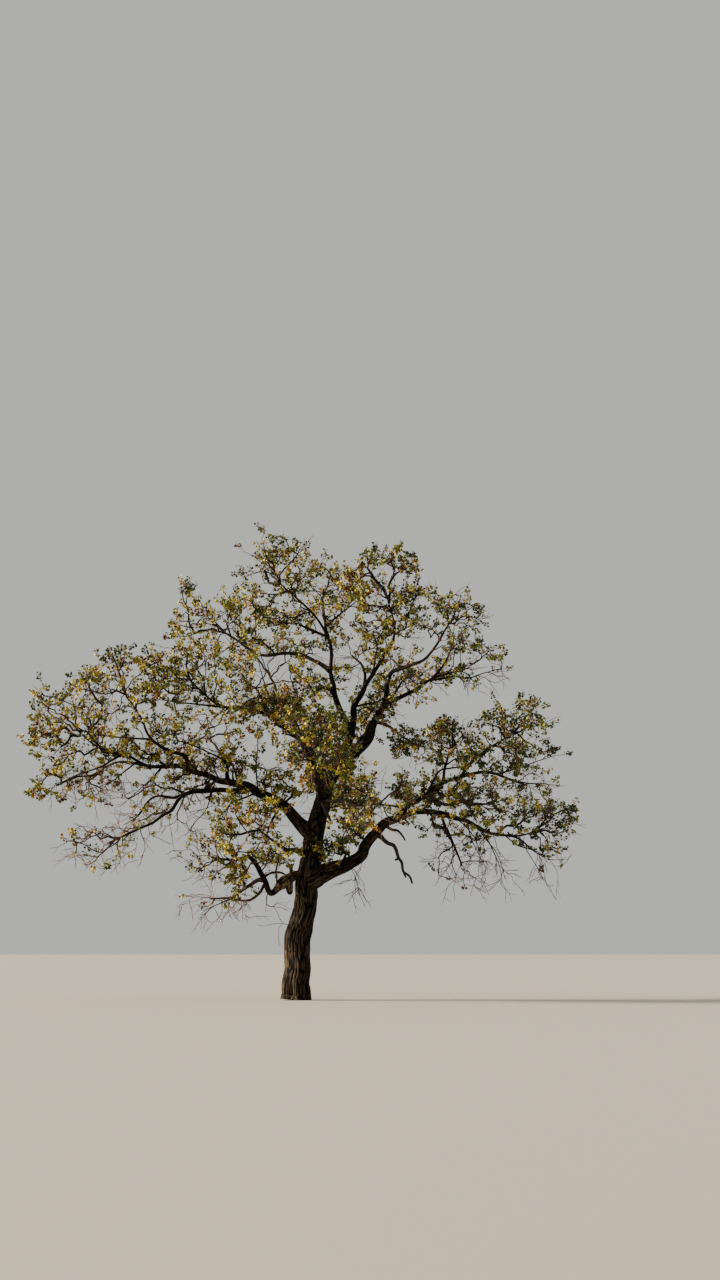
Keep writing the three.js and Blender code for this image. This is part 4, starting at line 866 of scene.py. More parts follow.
def open_to_sky(points, rng):
    """Which points to leave bare because the viewer sees the sky there through the crown."""
    depth = -VIEWER["back"] / (points[:, 1] - VIEWER["back"])
    right = VIEWER["right"] + (points[:, 0] - VIEWER["right"]) * depth
    up = VIEWER["eye"] + (points[:, 2] - VIEWER["eye"]) * depth
    clear = np.zeros(len(points), bool)
    for x, z, radius, share in SKY:
        # 1 within 0.8 of the gap's radius and 0 from 1.2 of it
        inside = np.clip(3 - 2.5 * np.hypot(right - x, up - z) / radius, 0, 1)
        clear |= rng.uniform(0, 1, len(points)) < share * inside
    return clear


def mass_spots(limb, sprays, habit, twigs, rng):
    """Spots for shoots in a mass: around its sprays, and in clumps through the outer part of its space."""
    mass = limb.mass
    count = round(4 / 3 * math.pi * float(np.prod(mass.reach)) * twigs.shoots_per_m3 * habit.full)
    near = round(count * twigs.spray_share / max(len(sprays), 1))
    found = []
    for spray in sprays:
        along = rng.uniform(SPOTS["blade_from"], 1, (near, 1))
        out = unit(rng.normal(size=(near, 3))) * spray.half * np.cbrt(rng.uniform(0, 1, (near, 1)))
        found.append(spray.root + along * (spray.tip - spray.root) + out)
    # Twice as many as are wanted, because the clumps' field keeps about half
    free = round(count * (1 - twigs.spray_share) * 2)
    out = np.cbrt(rng.uniform(SPOTS["volume_from"], SPOTS["volume_to"], (free, 1)))
    points = mass.heart + unit(rng.normal(size=(free, 3))) * out * mass.reach
    clumped = noise(points / twigs.clump_size, mass.seed) > SPOTS["field"]
    found.append(points[clumped])
    spots = np.vstack(found)
    return spots[(rim_room(mass, spots) > SPOTS["rim_room"]) & ~open_to_sky(spots, rng)]


def clump_spots(name, usual_shade, rng):
    """Spots for the shoots of a bough's clumps, which of them keep their leaves, and how deep their shade."""
    spots, leafy, shade = [np.zeros((0, 3))], [np.zeros(0, bool)], [np.zeros(0)]
    for row in CLUMPS.get(name, ()):
        clump = Clump(*row)
        out = unit(rng.normal(size=(clump.shoots, 3))) * np.cbrt(rng.uniform(0, 1, (clump.shoots, 1)))
        spots.append((clump.right, clump.back, clump.up) + out * clump.radius)
        leafy.append(rng.uniform(0, 1, clump.shoots) < clump.leafy)
        shade.append(np.full(clump.shoots, usual_shade if clump.shade is None else clump.shade))
    return np.vstack(spots), np.concatenate(leafy), np.concatenate(shade)


def side_spots(curve, count, rng, first, last, room, rise):
    """Spots beside a stretch of a limb, the more of them above it the larger rise is."""
    shares = rng.uniform(first, last, count)
    out = unit(rng.normal(size=(count, 3)) + np.array([0, 0, rise]))
    spots = curve.at(shares) + out * rng.uniform(*room, (count, 1))
    return spots[~open_to_sky(spots, rng)]


def grow_limb(limb, first, spots, leafy, sprays, twigs, rng):
    """The wood that a limb bears: its own joints, its sprays' twigs, and a shoot at each spot."""
    wood = Wood()
    reach = LIMB_JOINTS["last"] * limb.curve.length
    spacing = twigs.joint_spacing * LIMB_JOINTS["spacing"]
    shares = np.arange(first * limb.curve.length, reach, spacing) / limb.curve.length
    joint = -1
    for at in limb.curve.at(shares):
        joint = wood.add(at, joint, drawn=False)
    roots = {}
    for i, spray in enumerate(sprays):
        if i < GROWTH["stem_stations"]:
            roots[i] = wood.nearest(spray.at)
            continue
        points = bow(wood, roots[spray.source], spray.root, twigs.joint_spacing, twigs.crook, rng)
        roots[i] = wood.line(points, roots[spray.source])
        wood.line(bow(wood, roots[i], spray.tip, twigs.joint_spacing, twigs.crook, rng), roots[i])
    ends = reach_spots(wood, spots, twigs, rng)
    usual = np.where(leafy, twigs.shoot_length, twigs.bare_length)
    lengths = rng.uniform(*SHOOT["lengths"], len(spots)) * usual
    start, end = [], []
    for spot, keeps, length in zip(ends, leafy, lengths):
        lift = np.array([0, 0, SHOOT["lift"] if keeps else SHOOT["droop"]])
        heading = unit(wood.heading[spot] + lift + rng.normal(0, SHOOT["stray"], 3))
        middle = wood.add(wood.at[spot] + heading * length * 0.5, spot)
        onward = unit(heading + lift * 0.5 + rng.normal(0, SHOOT["onward_stray"], 3))
        last = wood.add(wood.at[middle] + onward * length * 0.5, middle, carries=1)
        if keeps:
            start.append(wood.at[spot])
            end.append(wood.at[last])
            continue
        for fork in (spot, middle):
            aside = unit(wood.heading[fork] + rng.normal(0, SHOOT["fork_stray"], 3))
            wood.line([wood.at[fork] + aside * length * SHOOT["fork_length"]], fork)
    for i in range(len(wood.at) - 1, 0, -1):
        wood.carries[wood.source[i]] += wood.carries[i]
    return wood, np.array(start).reshape(-1, 3), np.array(end).reshape(-1, 3)


def twig_lines(wood, twigs):
    """Lines through the drawn wood, each on through the joint that carries most, with its radii."""
    carries = np.maximum(1, wood.carries)
    radii = twigs.tip_radius * carries**twigs.thickening
    onward = {}
    for i in range(1, len(wood.at)):
        source = wood.source[i]
        if wood.drawn[i] and (source not in onward or carries[i] > carries[onward[source]]):
            onward[source] = i
    lines = []
    for i in range(1, len(wood.at)):
        source = wood.source[i]
        if not wood.drawn[i] or (wood.drawn[source] and onward[source] == i):
            continue
        at = [wood.at[source]]
        most = TWIG_ENDS["side_share"] * radii[source] if wood.drawn[source] else radii[i]
        radius = [min(radii[i], most)]
        joint = i
        while joint is not None:
            at.append(wood.at[joint])
            radius.append(radii[joint])
            joint = onward.get(joint)
        radius[-1] *= TWIG_ENDS["tip_share"]
        lines.append((np.array(at), np.array(radius)))
    return lines


Growth = namedtuple("Growth", "region lines start end shade inner")

# Which boughs bear each part of the crown. What springs from the trunk itself goes with the low left part.
REGIONS = {
    "left": ["left_bough", "left_riser", "left_back_bough", "left_hanger", "left_under_bough"],
    "low_left": ["low_left_bough", "low_left_fork", "low_front_bough"],
    "upper_left": ["upper_left_bough", "upper_left_front_bough", "crown_left_side_bough"],
    "crown": ["crown_bough", "crown_left_bough", "crown_back_bough", "crown_side_bough"],
    "upper_right": ["upper_right_bough", "upper_right_riser", "upper_right_spur"],
    "right": ["right_bough", "right_upper_bough", "right_riser", "right_inner_riser"],
    "low_right": ["right_front_bough", "right_hanger", "front_bough", "front_right_bough"],
    "back": ["back_left_bough", "back_right_bough", "back_low_bough"],
}


def region_of(name):
    return next((region for region, names in REGIONS.items() if name in names), "low_left")


@functools.cache
def solid_limbs():
    """Every limb of the solid model, and the joints of the sprays on it."""
    masses = []
    for row in BOUGHS:
        if row.heart:
            heart, reach = np.array(row.heart, float), np.array(row.reach, float)
            masses.append(Mass(row.name, heart, reach, float(reach.mean()), len(masses) + 1))
    limbs = {"trunk": trunk_limb()}
    for row in BOUGHS:
        limbs[row.name] = bough_limb(row, limbs, masses)
    checks = limb_checks(limbs)
    sprays = {limb.name: grow_sprays(limb, masses, checks) for limb in limbs.values() if limb.mass}
    return limbs, sprays


def branch_limb(row, limbs):
    """A finer limb, which tapers to a twig."""
    parent = limbs[row.parent].curve
    curve = Curve([parent.at(parent.nearest_share(row.bends[0])), *row.bends[1:]])

    def radius_at(share):
        return row.tip + (row.radius - row.tip) * (1 - np.asarray(share, float)) ** BRANCH_THINNING

    return Limb(row.name, curve, radius_at, None, 1, None)


def bough_growth(index, limb, sprays, twigs):
    """What a bough bears: shoots in its mass and its clumps, beside it, and bare ones under it."""
    rng = np.random.default_rng(SEEDS["boughs"] + index)
    habit = HABITS.get(limb.name, USUAL)
    length = limb.curve.length
    first = min(BARE_FOOT["share"], BARE_FOOT["length"] / length)
    inside = mass_spots(limb, sprays[GROWTH["stem_stations"]:], habit, twigs, rng)
    count = max(0, round(twigs.side_shoots * length * (limb.end - first) * habit.full))
    beside = side_spots(limb.curve, count, rng, first, limb.end, **BESIDE_BOUGH)
    under = side_spots(limb.curve, HANGING.get(limb.name, USUAL_HANGING), rng, first, 1, **UNDER_BOUGH)
    crowded, keeps, deep = clump_spots(limb.name, habit.shade, rng)
    spots = np.vstack([inside, beside, crowded, under])
    loose = len(inside) + len(beside)
    leafy = np.concatenate([rng.uniform(0, 1, loose) < habit.leafy, keeps, np.zeros(len(under), bool)])
    shade = np.concatenate([np.full(loose, float(habit.shade)), deep, np.zeros(len(under))])[leafy]
    wood, start, end = grow_limb(limb, first, spots, leafy, sprays, twigs, rng)
    inner = np.linalg.norm((start - limb.mass.heart) / limb.mass.reach, axis=1) < INNER_REACH
    return Growth(region_of(limb.name), twig_lines(wood, twigs), start, end, shade, inner)


def branch_growth(index, row, limbs, twigs):
    """What a finer branch bears: leafy and bare shoots beside it."""
    rng = np.random.default_rng(SEEDS["branches"] + index)
    branch = branch_limb(row, limbs)
    length = branch.curve.length
    full = side_spots(branch.curve, round(row.shoots * length), rng, **LEAFY_ON_BRANCH)
    bare = side_spots(branch.curve, round(row.bare * length), rng, **BARE_ON_BRANCH)
    spots = np.vstack([full, bare])
    leafy = np.arange(len(spots)) < len(full)
    wood, start, end = grow_limb(branch, BARE_FOOT["branch_share"], spots, leafy, [], twigs, rng)
    shade = np.full(len(start), float(HABITS.get(row.parent, USUAL).shade))
    inner = np.zeros(len(start), bool)
    return Growth(region_of(row.parent), twig_lines(wood, twigs), start, end, shade, inner)


def grow_crown(twigs):
    """All wood too fine for the solid model, limb by limb, with the shoots that keep leaves."""
    limbs, sprays = solid_limbs()
    growths = []
    for index, limb in enumerate(limbs.values()):
        if limb.mass:
            growths.append(bough_growth(index, limb, sprays[limb.name], twigs))
    for index, row in enumerate(BRANCHES):
        if row.shoots + row.bare:
            growths.append(branch_growth(index, row, limbs, twigs))
    return growths


# Bark on the limbs


def rings(points):
    """A pair of directions across a line at each of its points, carried along it without twist."""
    ahead = unit(np.gradient(points, axis=0))
    right = np.array([1.0, 0.0, 0.0]) if abs(ahead[0][0]) < 0.9 else np.array([0.0, 1.0, 0.0])
    across = []
    for way in ahead:
        right = right - (right @ way) * way
        right /= np.linalg.norm(right)
        across.append(right)
    across = np.array(across)
    return across, np.cross(ahead, across)


def crooked_line(limb, first, shares, radius, crook, seed):
    """The limb's line at these shares, with small crooks that ease out at both of its ends."""
    run = shares * limb.curve.length
    every = SKIN["crook_every"]
    fields = [np.stack([run / every, run * 0, run * 0 + axis], axis=1) for axis in range(3)]
    crooks = np.stack([noise(field, seed) for field in fields], axis=1)
    ease = np.clip(np.minimum(run - first * limb.curve.length, limb.curve.length - run) / every, 0, 1)
    sway = ease * np.minimum(radius, SKIN["crook_radius"])
    return limb.curve.at(shares) + (crooks - 0.5) * sway[:, None] * crook


def furrows(turn, girth, bark, seed):
    """For each corner its place in the grain, how deep it lies in a furrow and how far its bark rises."""
    wide = bark.furrow_width * np.clip((girth / SKIN["stout"]) ** 0.5, SKIN["least_width"], 1)
    grain = turn / np.stack([wide, wide, wide * bark.furrow_stretch], axis=1)
    bend = noise(grain * SKIN["bend_size"], seed)[:, None] * np.array(SKIN["bend"])
    ridges = 1 - np.abs(2 * noise(grain + bend, seed + 1) - 1)
    flecks = (1 - SKIN["ridge_share"]) * noise(grain * SKIN["fleck_size"], seed + 2)
    ridges = SKIN["ridge_share"] * ridges**3 + flecks
    lumps = noise(turn / np.array(SKIN["lump_size"]), seed + 3) - 0.5
    depth = bark.furrow_depth * np.clip(girth / SKIN["stout"], SKIN["least_depth"], 1)
    rise = lumps * SKIN["lump_height"] * girth - ridges * depth + SKIN["ridge_rise"] * depth
    return grain, ridges, rise


def skin_faces(count, sides):
    """The faces between a skin's rings, and those that close its ends on the two corners after the rings."""
    ring = np.arange(count)[:, None] * sides
    side = np.arange(sides)
    after = (side + 1) % sides
    ahead = ring + sides
    faces = np.stack([ring + side, ring + after, ahead + after, ahead + side], axis=2).reshape(-1, 4)
    corners = (count + 1) * sides
    caps = []
    for middle, line in ((corners, side[::-1]), (corners + 1, count * sides + side)):
        caps += [(int(a), int(b), middle) for a, b in zip(line, np.roll(line, -1))]
    return faces, caps


def limb_skin(limb, first, bark, shape=None):
    """A closed skin of furrowed bark along a limb: its corners, the faces round it and at its ends, and for
    each corner its place in the grain, how deep it lies in a furrow and how thick the limb is there."""
    length = limb.curve.length * (1 - first)
    thickest = float(np.max(limb.radius_at(np.array([first, first + SKIN["foot"]]))))
    coarse = bark.mesh_spacing * (1 if thickest > SKIN["stout"] else SKIN["coarser"])
    slender = min(1, thickest / SKIN["slender"])
    spacing = coarse / slender**0.5 if thickest > SKIN["thin"] else SKIN["thin_spacing"]
    count = max(SKIN["fewest"], round(length / spacing))
    sides = max(SKIN["fewest"], round(2 * math.pi * thickest / coarse))
    shares = first + (1 - first) * np.arange(count + 1) / count
    radius = limb.radius_at(shares)
    # Each limb has its own bark
    seed = sum(map(ord, limb.name)) % 97
    at = crooked_line(limb, first, shares, radius, bark.crook, seed)
    right, up = rings(at)
    angle = 2 * math.pi * np.arange(sides) / sides
    away = right[:, None] * np.cos(angle)[:, None] + up[:, None] * np.sin(angle)[:, None]
    runs = np.repeat((shares * limb.curve.length)[:, None], sides, axis=1)
    thick = radius[:, None]
    turn = np.stack([thick * np.cos(angle), thick * np.sin(angle), runs], axis=2).reshape(-1, 3)
    girth = np.repeat(radius, sides)
    grain, ridges, rise = furrows(turn, girth, bark, seed)
    # The far end is rounded off over its own radius
    rounding = np.clip((1 - shares) * limb.curve.length / np.maximum(radius, 1e-4), 0, 1)
    dome = np.sqrt(1 - (1 - rounding) ** 2)
    out = np.repeat(radius * dome, sides)
    if shape is not None:
        out = out * shape(at, away).reshape(-1)
    out = out + np.repeat(dome, sides) * rise
    corners = np.repeat(at, sides, axis=0) + away.reshape(-1, 3) * out[:, None]
    corners = np.vstack([corners, at[0], at[-1]])
    ends = [0, count * sides]
    grain, ridges, girth = (np.concatenate([held, held[ends]]) for held in (grain, ridges, girth))
    return corners, *skin_faces(count, sides), grain, ridges, girth


def buttressed(at, away):
    """The trunk's outline: root buttresses that fade out above the flare."""
    fade = np.exp(-np.maximum(at[:, 2], 0) / (2 * TRUNK["flare_height"]))[:, None]
    around = np.arctan2(away[..., 1], away[..., 0])
    return 1 + TRUNK["buttress_depth"] * fade * np.cos(TRUNK["buttresses"] * around)


def bark_mesh(name, skins):
    """One mesh of several skins, with the attributes that the bark's material reads."""
    corners, faces, caps, grain, depth, girth = zip(*skins)
    bases = np.cumsum([0, *map(len, corners)]).tolist()
    sides = np.vstack([face + base for face, base in zip(faces, bases)]).tolist()
    ends = [tuple(corner + base for corner in cap) for group, base in zip(caps, bases) for cap in group]
    corners = np.vstack(corners)
    mesh = bpy.data.meshes.new(name)
    mesh.from_pydata(corners.tolist(), [], sides + ends)
    # A tan patch round the burl: partly bared wood and partly painted light
    worn = np.exp(-np.sum((corners - BURL["middle"]) ** 2, axis=1) / BURL["spread"] ** 2)
    for label, kind, field, values in (
        ("grain", "FLOAT_VECTOR", "vector", np.vstack(grain)),
        ("furrow", "FLOAT", "value", np.concatenate(depth)),
        ("girth", "FLOAT", "value", np.concatenate(girth)),
        ("worn", "FLOAT", "value", worn),
    ):
        mesh.attributes.new(label, kind, "POINT").data.foreach_set(field, values.astype(np.float32).ravel())
    mesh.shade_smooth()
    return mesh


# Leaves


def turns_of(right, ahead, up):
    """Quaternions (w, x, y, z) of frames given by their three directions."""
    w = 1 + right[:, 0] + ahead[:, 1] + up[:, 2]
    x = 1 + right[:, 0] - ahead[:, 1] - up[:, 2]
    y = 1 - right[:, 0] + ahead[:, 1] - up[:, 2]
    z = 1 - right[:, 0] - ahead[:, 1] + up[:, 2]
    w, x, y, z = (np.sqrt(np.maximum(value, 0)) / 2 for value in (w, x, y, z))
    x = np.copysign(x, ahead[:, 2] - up[:, 1])
    y = np.copysign(y, up[:, 0] - right[:, 2])
    z = np.copysign(z, right[:, 1] - ahead[:, 0])
    return unit(np.stack([w, x, y, z], axis=1))


def leaf_mesh(leaves):
    """A heart-shaped leaf on its stalk, folded a little along its midrib: a few faces in its own outline."""
    droop = math.radians(LEAF["droop"])
    base = np.array([0, leaves.stalk_length, 0])
    ahead = np.array([0, math.cos(droop), -math.sin(droop)])
    up = np.array([0, math.sin(droop), math.cos(droop)])

    def edge(side, width, along):
        across = side * width * leaves.blade_width
        spot = base + ahead * along * leaves.blade_length + np.array([across, 0, 0])
        return tuple(spot + up * abs(across) * LEAF["fold"])

    corners = [(-LEAF["stalk_half"], 0, 0), (LEAF["stalk_half"], 0, 0), tuple(base)]
    corners += [edge(side, *LEAF[part]) for part in ("shoulder", "flank") for side in (-1, 1)]
    corners.append(edge(0, 0, 1))
    # The stalk, and four faces from the blade's base out to its edge
    faces = [(0, 1, 2), (2, 5, 3), (2, 7, 5), (2, 6, 7), (2, 4, 6)]
    mesh = bpy.data.meshes.new("leaf")
    mesh.from_pydata(corners, [], faces)
    return mesh


def leaf_tints(start, shade, inner, owner, one_tint, rng):
    """Which tint each leaf has: mostly its shoot's main one, and otherwise any that its shoot may have."""
    patch = noise(start / PATCH["size"], 7) - 0.5
    patch = patch + PATCH["small_height"] * (noise(start / PATCH["small_size"], 8) - 0.5)
    # Painted light and shade: each shoot's shade, stirred by the patches, tilts its tints from the lit shares
    # to the shaded ones
    depth = np.clip(shade + (PATCH["contrast"] - abs(shade)) * patch, -1, 1)[:, None] / 2 + 0.5
    shares = (1 - depth) * LIT_TINTS
    shares = shares + depth * SHADED_TINTS
    shares = np.where(inner[:, None], shares * INNER_TINTS, shares)
    steps = np.cumsum(shares / shares.sum(axis=1, keepdims=True), axis=1)
    last = len(LIT_TINTS) - 1
    main = np.minimum((rng.uniform(0, 1, (len(start), 1)) > steps).sum(axis=1), last)
    other = np.minimum((rng.uniform(0, 1, (len(owner), 1)) > steps[owner]).sum(axis=1), last)
    return np.where(rng.uniform(0, 1, len(owner)) < one_tint, main[owner], other)


def leaf_places(growths, leaves, rng):
    """Where each leaf springs from a shoot, how it is turned and sized, and which tint it has."""
    parts = ([getattr(growth, part) for growth in growths] for part in ("start", "end", "shade", "inner"))
    start, end, shade, inner = map(np.concatenate, parts)
    count = rng.integers(leaves.fewest, leaves.most + 1, len(start))
    count = np.where(inner, (count + 1) // 2, count)
    owner = np.repeat(np.arange(len(start)), count)
    order = np.arange(len(owner)) - np.repeat(np.cumsum(count) - count, count)
    step = order + rng.uniform(0, 1, len(owner))
    along = (SETTING["first"] + (1 - SETTING["first"]) * step / count[owner])[:, None]
    axis = unit(end - start)[owner]
    at = start[owner] + along * (end - start)[owner]
    # Any way that no shoot points along serves to find one across it
    across = unit(np.cross(axis, np.array([0.3, 0.2, 1.0])))
    beside = np.cross(axis, across)
    spin = (order * math.radians(SETTING["turn"]) + rng.normal(0, SETTING["turn_stray"], len(owner)))[:, None]
    away = np.cos(spin) * across + np.sin(spin) * beside
    ahead = SETTING["along"] * axis + SETTING["away"] * away + rng.normal(0, SETTING["stray"], at.shape)
    ahead = unit(ahead - np.array([0, 0, SETTING["hang"]]))
    flat = unit(rng.normal(size=at.shape) + np.array([0, 0, SETTING["face_up"]]))
    right = unit(np.cross(ahead, flat))
    up = np.cross(right, ahead)
    size = rng.uniform(*SETTING["sizes"], len(owner))
    return at, turns_of(right, ahead, up), size, leaf_tints(start, shade, inner, owner, leaves.one_tint, rng)


# Meshes by node trees


def add_node(tree, kind, inputs=None, **settings):
    """Adds a node with its settings, and its inputs as values or as links from other sockets."""
    node = tree.nodes.new(kind)
    for key, value in settings.items():
        setattr(node, key, value)
    for key, value in (inputs or {}).items():
        if isinstance(value, bpy.types.NodeSocket):
            tree.links.new(value, node.inputs[key])
        else:
            node.inputs[key].default_value = value
    return node


def shape_tree(name, sizes):
    """A geometry node tree with named inputs, its input node and its output node."""
    tree = bpy.data.node_groups.new(name, "GeometryNodeTree")
    tree.interface.new_socket(name="Geometry", in_out="INPUT", socket_type="NodeSocketGeometry")
    for label, kind in sizes.items():
        tree.interface.new_socket(name=label, in_out="INPUT", socket_type=kind)
    tree.interface.new_socket(name="Geometry", in_out="OUTPUT", socket_type="NodeSocketGeometry")
    return tree, add_node(tree, "NodeGroupInput").outputs, add_node(tree, "NodeGroupOutput")


def named(tree, kind, name):
    """The socket of an attribute of the geometry."""
    node = add_node(tree, "GeometryNodeInputNamedAttribute", {"Name": name}, data_type=kind)
    return next(socket for socket in node.outputs if socket.enabled and socket.name == "Attribute")


def leaf_tree(tints):
    """Sets a leaf on each point, turned and sized by the point, and gives it the point's tint."""
    sizes = {"Leaf": "NodeSocketObject", "Leaf scale": "NodeSocketFloat"}
    tree, given, result = shape_tree("leaves_on_shoots", sizes)
    leaf = add_node(tree, "GeometryNodeObjectInfo", {"Object": given["Leaf"]})
    size = {0: named(tree, "FLOAT", "size"), 1: given["Leaf scale"]}
    scale = add_node(tree, "ShaderNodeMath", size, operation="MULTIPLY")
    placed = add_node(tree, "GeometryNodeInstanceOnPoints", {
        "Points": given["Geometry"], "Instance": leaf.outputs["Geometry"],
        "Rotation": named(tree, "QUATERNION", "turn"), "Scale": scale.outputs[0],
    })
    shape = add_node(tree, "GeometryNodeRealizeInstances", {"Geometry": placed.outputs[0]})
    for number, material in enumerate(tints):
        pair = {2: named(tree, "INT", "tint"), 3: number}
        chosen = add_node(tree, "FunctionNodeCompare", pair, data_type="INT", operation="EQUAL")
        dye = {"Geometry": shape.outputs[0], "Selection": chosen.outputs[0], "Material": material}
        shape = add_node(tree, "GeometryNodeSetMaterial", dye)
    tree.links.new(shape.outputs[0], result.inputs[0])
    return tree


def twig_tree():
    """Turns each line of points into a closed round twig of the thickness that its points hold."""
    sizes = {"Sides": "NodeSocketInt", "Thickness": "NodeSocketFloat", "Bark": "NodeSocketMaterial"}
    tree, given, result = shape_tree("twigs_on_lines", sizes)
    lines = add_node(tree, "GeometryNodeMeshToCurve", {"Mesh": given["Geometry"]})
    size = {0: named(tree, "FLOAT", "thickness"), 1: given["Thickness"]}
    thickness = add_node(tree, "ShaderNodeMath", size, operation="MULTIPLY")
    ring = {"Resolution": given["Sides"], "Radius": 1.0}
    outline = add_node(tree, "GeometryNodeCurvePrimitiveCircle", ring)
    tubes = add_node(tree, "GeometryNodeCurveToMesh", {
        "Curve": lines.outputs[0], "Profile Curve": outline.outputs[0], "Scale": thickness.outputs[0],
        "Fill Caps": True,
    })
    real = add_node(tree, "GeometryNodeRealizeInstances", {"Geometry": tubes.outputs[0]})
    bark = {"Geometry": real.outputs[0], "Material": given["Bark"]}
    barked = add_node(tree, "GeometryNodeSetMaterial", bark)
    tree.links.new(barked.outputs[0], result.inputs[0])
    return tree


def grown(name, points, edges, attributes, tree, inputs):
    """A plain mesh object from points that a node tree has dressed."""
    seeds = bpy.data.meshes.new(name + "_points")
    seeds.from_pydata(points.tolist(), edges, [])
    for label, (kind, field, values) in attributes.items():
        seeds.attributes.new(label, kind, "POINT").data.foreach_set(field, np.asarray(values).ravel())
    holder = bpy.data.objects.new(name + "_points", seeds)
    bpy.context.collection.objects.link(holder)
    modifier = holder.modifiers.new("dressing", "NODES")
    modifier.node_group = tree
    for item in tree.interface.items_tree:
        if item.in_out == "INPUT" and item.name in inputs:
            modifier[item.identifier] = inputs[item.name]
    dressed = holder.evaluated_get(bpy.context.evaluated_depsgraph_get())
    mesh = bpy.data.meshes.new_from_object(dressed)
    holder.modifiers.remove(modifier)
    bpy.data.objects.remove(holder)
    bpy.data.meshes.remove(seeds)
    mesh.name = name
    piece = bpy.data.objects.new(name, mesh)
    bpy.context.collection.objects.link(piece)
    return piece


# Materials


def linear(colour):
    """The linear red, green and blue of an sRGB hex colour."""
    parts = [int(colour[i : i + 2], 16) / 255 for i in (1, 3, 5)]
    return tuple(part / 12.92 if part <= 0.04045 else ((part + 0.055) / 1.055) ** 2.4 for part in parts)


def new_material(name):
    """A material with its shader, and the tree that holds it."""
    material = bpy.data.materials.new(name)
    material.use_nodes = True
    tree = material.node_tree
    shader = next(node for node in tree.nodes if node.type == "BSDF_PRINCIPLED")
    return material, tree, shader


def plain_material(name, colour, roughness):
    """A matt finish of one colour."""
    material, _, shader = new_material(name)
    shader.inputs["Base Color"].default_value = (*colour, 1)
    shader.inputs["Roughness"].default_value = roughness
    # Half the usual sheen: leaves late in the year are dull, and so are weathered twigs
    shader.inputs["Specular IOR Level"].default_value = 0.25
    return material


def bark_value(tree, name, kind="Fac"):
    """The socket of an attribute that the bark's mesh holds."""
    return add_node(tree, "ShaderNodeAttribute", attribute_name=name).outputs[kind]


def streaks(tree, grain, **inputs):
    """The socket of a noise along the bark's grain."""
    return add_node(tree, "ShaderNodeTexNoise", {"Vector": grain, **inputs}).outputs[0]


def stretched(tree, value, low, high, least=0, most=1):
    """A value stretched so that low becomes least and high becomes most, and held between them."""
    inputs = {"Value": value, "From Min": low, "From Max": high, "To Min": least, "To Max": most}
    return add_node(tree, "ShaderNodeMapRange", inputs).outputs[0]


def mixed(tree, share, first, second, blend="MIX"):
    """The colour this share of the way from the first to the second, or from the first to their product."""
    pair = [side if isinstance(side, bpy.types.NodeSocket) else (*side, 1) for side in (first, second)]
    inputs = {0: share, 6: pair[0], 7: pair[1]}
    return add_node(tree, "ShaderNodeMix", inputs, data_type="RGBA", blend_type=blend).outputs[2]


def rough_surface(tree, shader, colour, height, strength, distance, roughness):
    """Gives a shader its colour, its roughness, and bumps up to this distance in metres."""
    bump = add_node(tree, "ShaderNodeBump", {"Height": height, "Strength": strength, "Distance": distance})
    tree.links.new(colour, shader.inputs["Base Color"])
    tree.links.new(bump.outputs[0], shader.inputs["Normal"])
    shader.inputs["Roughness"].default_value = roughness


def furrowed_bark(bark):
    """Old cottonwood bark, thick cork that split as the limb grew: ashy grey ridges, and deep furrows painted
    nearly black as painted shade. Thinner limbs are smoother, and painted darker, near black, as painted
    shade for boughs in shadow against the sky. The tan round a burl is partly bared wood and partly painted
    light."""
    material, tree, shader = new_material("furrowed_cottonwood_bark")
    grain = bark_value(tree, "grain", "Vector")
    # Grain runs one unit to a furrow's width of 40 mm: 2 gives streaks of some 20 mm and 11 cracks of 4 mm
    flakes = streaks(tree, grain, Scale=2.0, Detail=4.0, Roughness=0.6)
    cracks = streaks(tree, grain, Scale=11.0, Detail=3.0)
    patches = streaks(tree, grain, Scale=0.12, Detail=2.0)
    # Limbs with a radius under 60 mm are all bough bark, painted near black as painted shade, and from 300 mm
    # up all old cork
    thick = stretched(tree, bark_value(tree, "girth"), low=0.06, high=0.3)
    cork = mixed(tree, thick, bark.shaded_bough_colour, bark.ridge_colour)
    flaked = stretched(tree, patches, low=0.4, high=0.65)
    cork = mixed(tree, flaked, cork, bark.warm_colour)
    # Partly painted light: the tan round the burl stands for sunlight on it as well as bared wood
    cork = mixed(tree, bark_value(tree, "worn"), cork, bark.burl_colour)
    fleck = stretched(tree, flakes, low=0.4, high=0.62, least=0.3, most=1.45)
    cork = mixed(tree, 1.0, cork, fleck, blend="MULTIPLY")
    # Painted shade: the deeper a corner lies in a furrow, the nearer its colour goes to near black
    furrow_shade_share = stretched(tree, bark_value(tree, "furrow"), low=0.2, high=0.6)
    colour = mixed(tree, furrow_shade_share, cork, bark.crevice_shade_colour)
    height = add_node(tree, "ShaderNodeMath", {0: flakes, 1: cracks}, operation="ADD").outputs[0]
    rough_surface(tree, shader, colour, height, strength=0.6, distance=0.006, roughness=0.95)
    # Dry cork has hardly any sheen, so its shaded side goes nearly black
    shader.inputs["Specular IOR Level"].default_value = 0.1
    return material


def dead_wood(bark):
    """Dead limb wood that has lost its bark: silvered and dull, with long drying checks along the grain."""
    material, tree, shader = new_material("weathered_dead_wood")
    # The checks stand a few millimetres apart across the grain
    checks = streaks(tree, bark_value(tree, "grain", "Vector"), Scale=5.0, Detail=4.0)
    # The checks are painted dark: painted shade in the cracks
    colour = mixed(tree, checks, bark.dead_colour, bark.crevice_shade_colour)
    rough_surface(tree, shader, colour, checks, strength=0.5, distance=0.004, roughness=0.9)
    return material


# Sizes and colours that a user may change


def length(name, description, default):
    return bpy.props.FloatProperty(name=name, description=description, default=default, min=0, unit="LENGTH")


def number(name, description, default):
    return bpy.props.FloatProperty(name=name, description=description, default=default)


def whole(name, description, default):
    return bpy.props.IntProperty(name=name, description=description, default=default, min=0)


def colour(name, description, default):
    return bpy.props.FloatVectorProperty(
        name=name, description=description, default=linear(default), size=3, min=0, max=1, subtype="COLOR"
    )


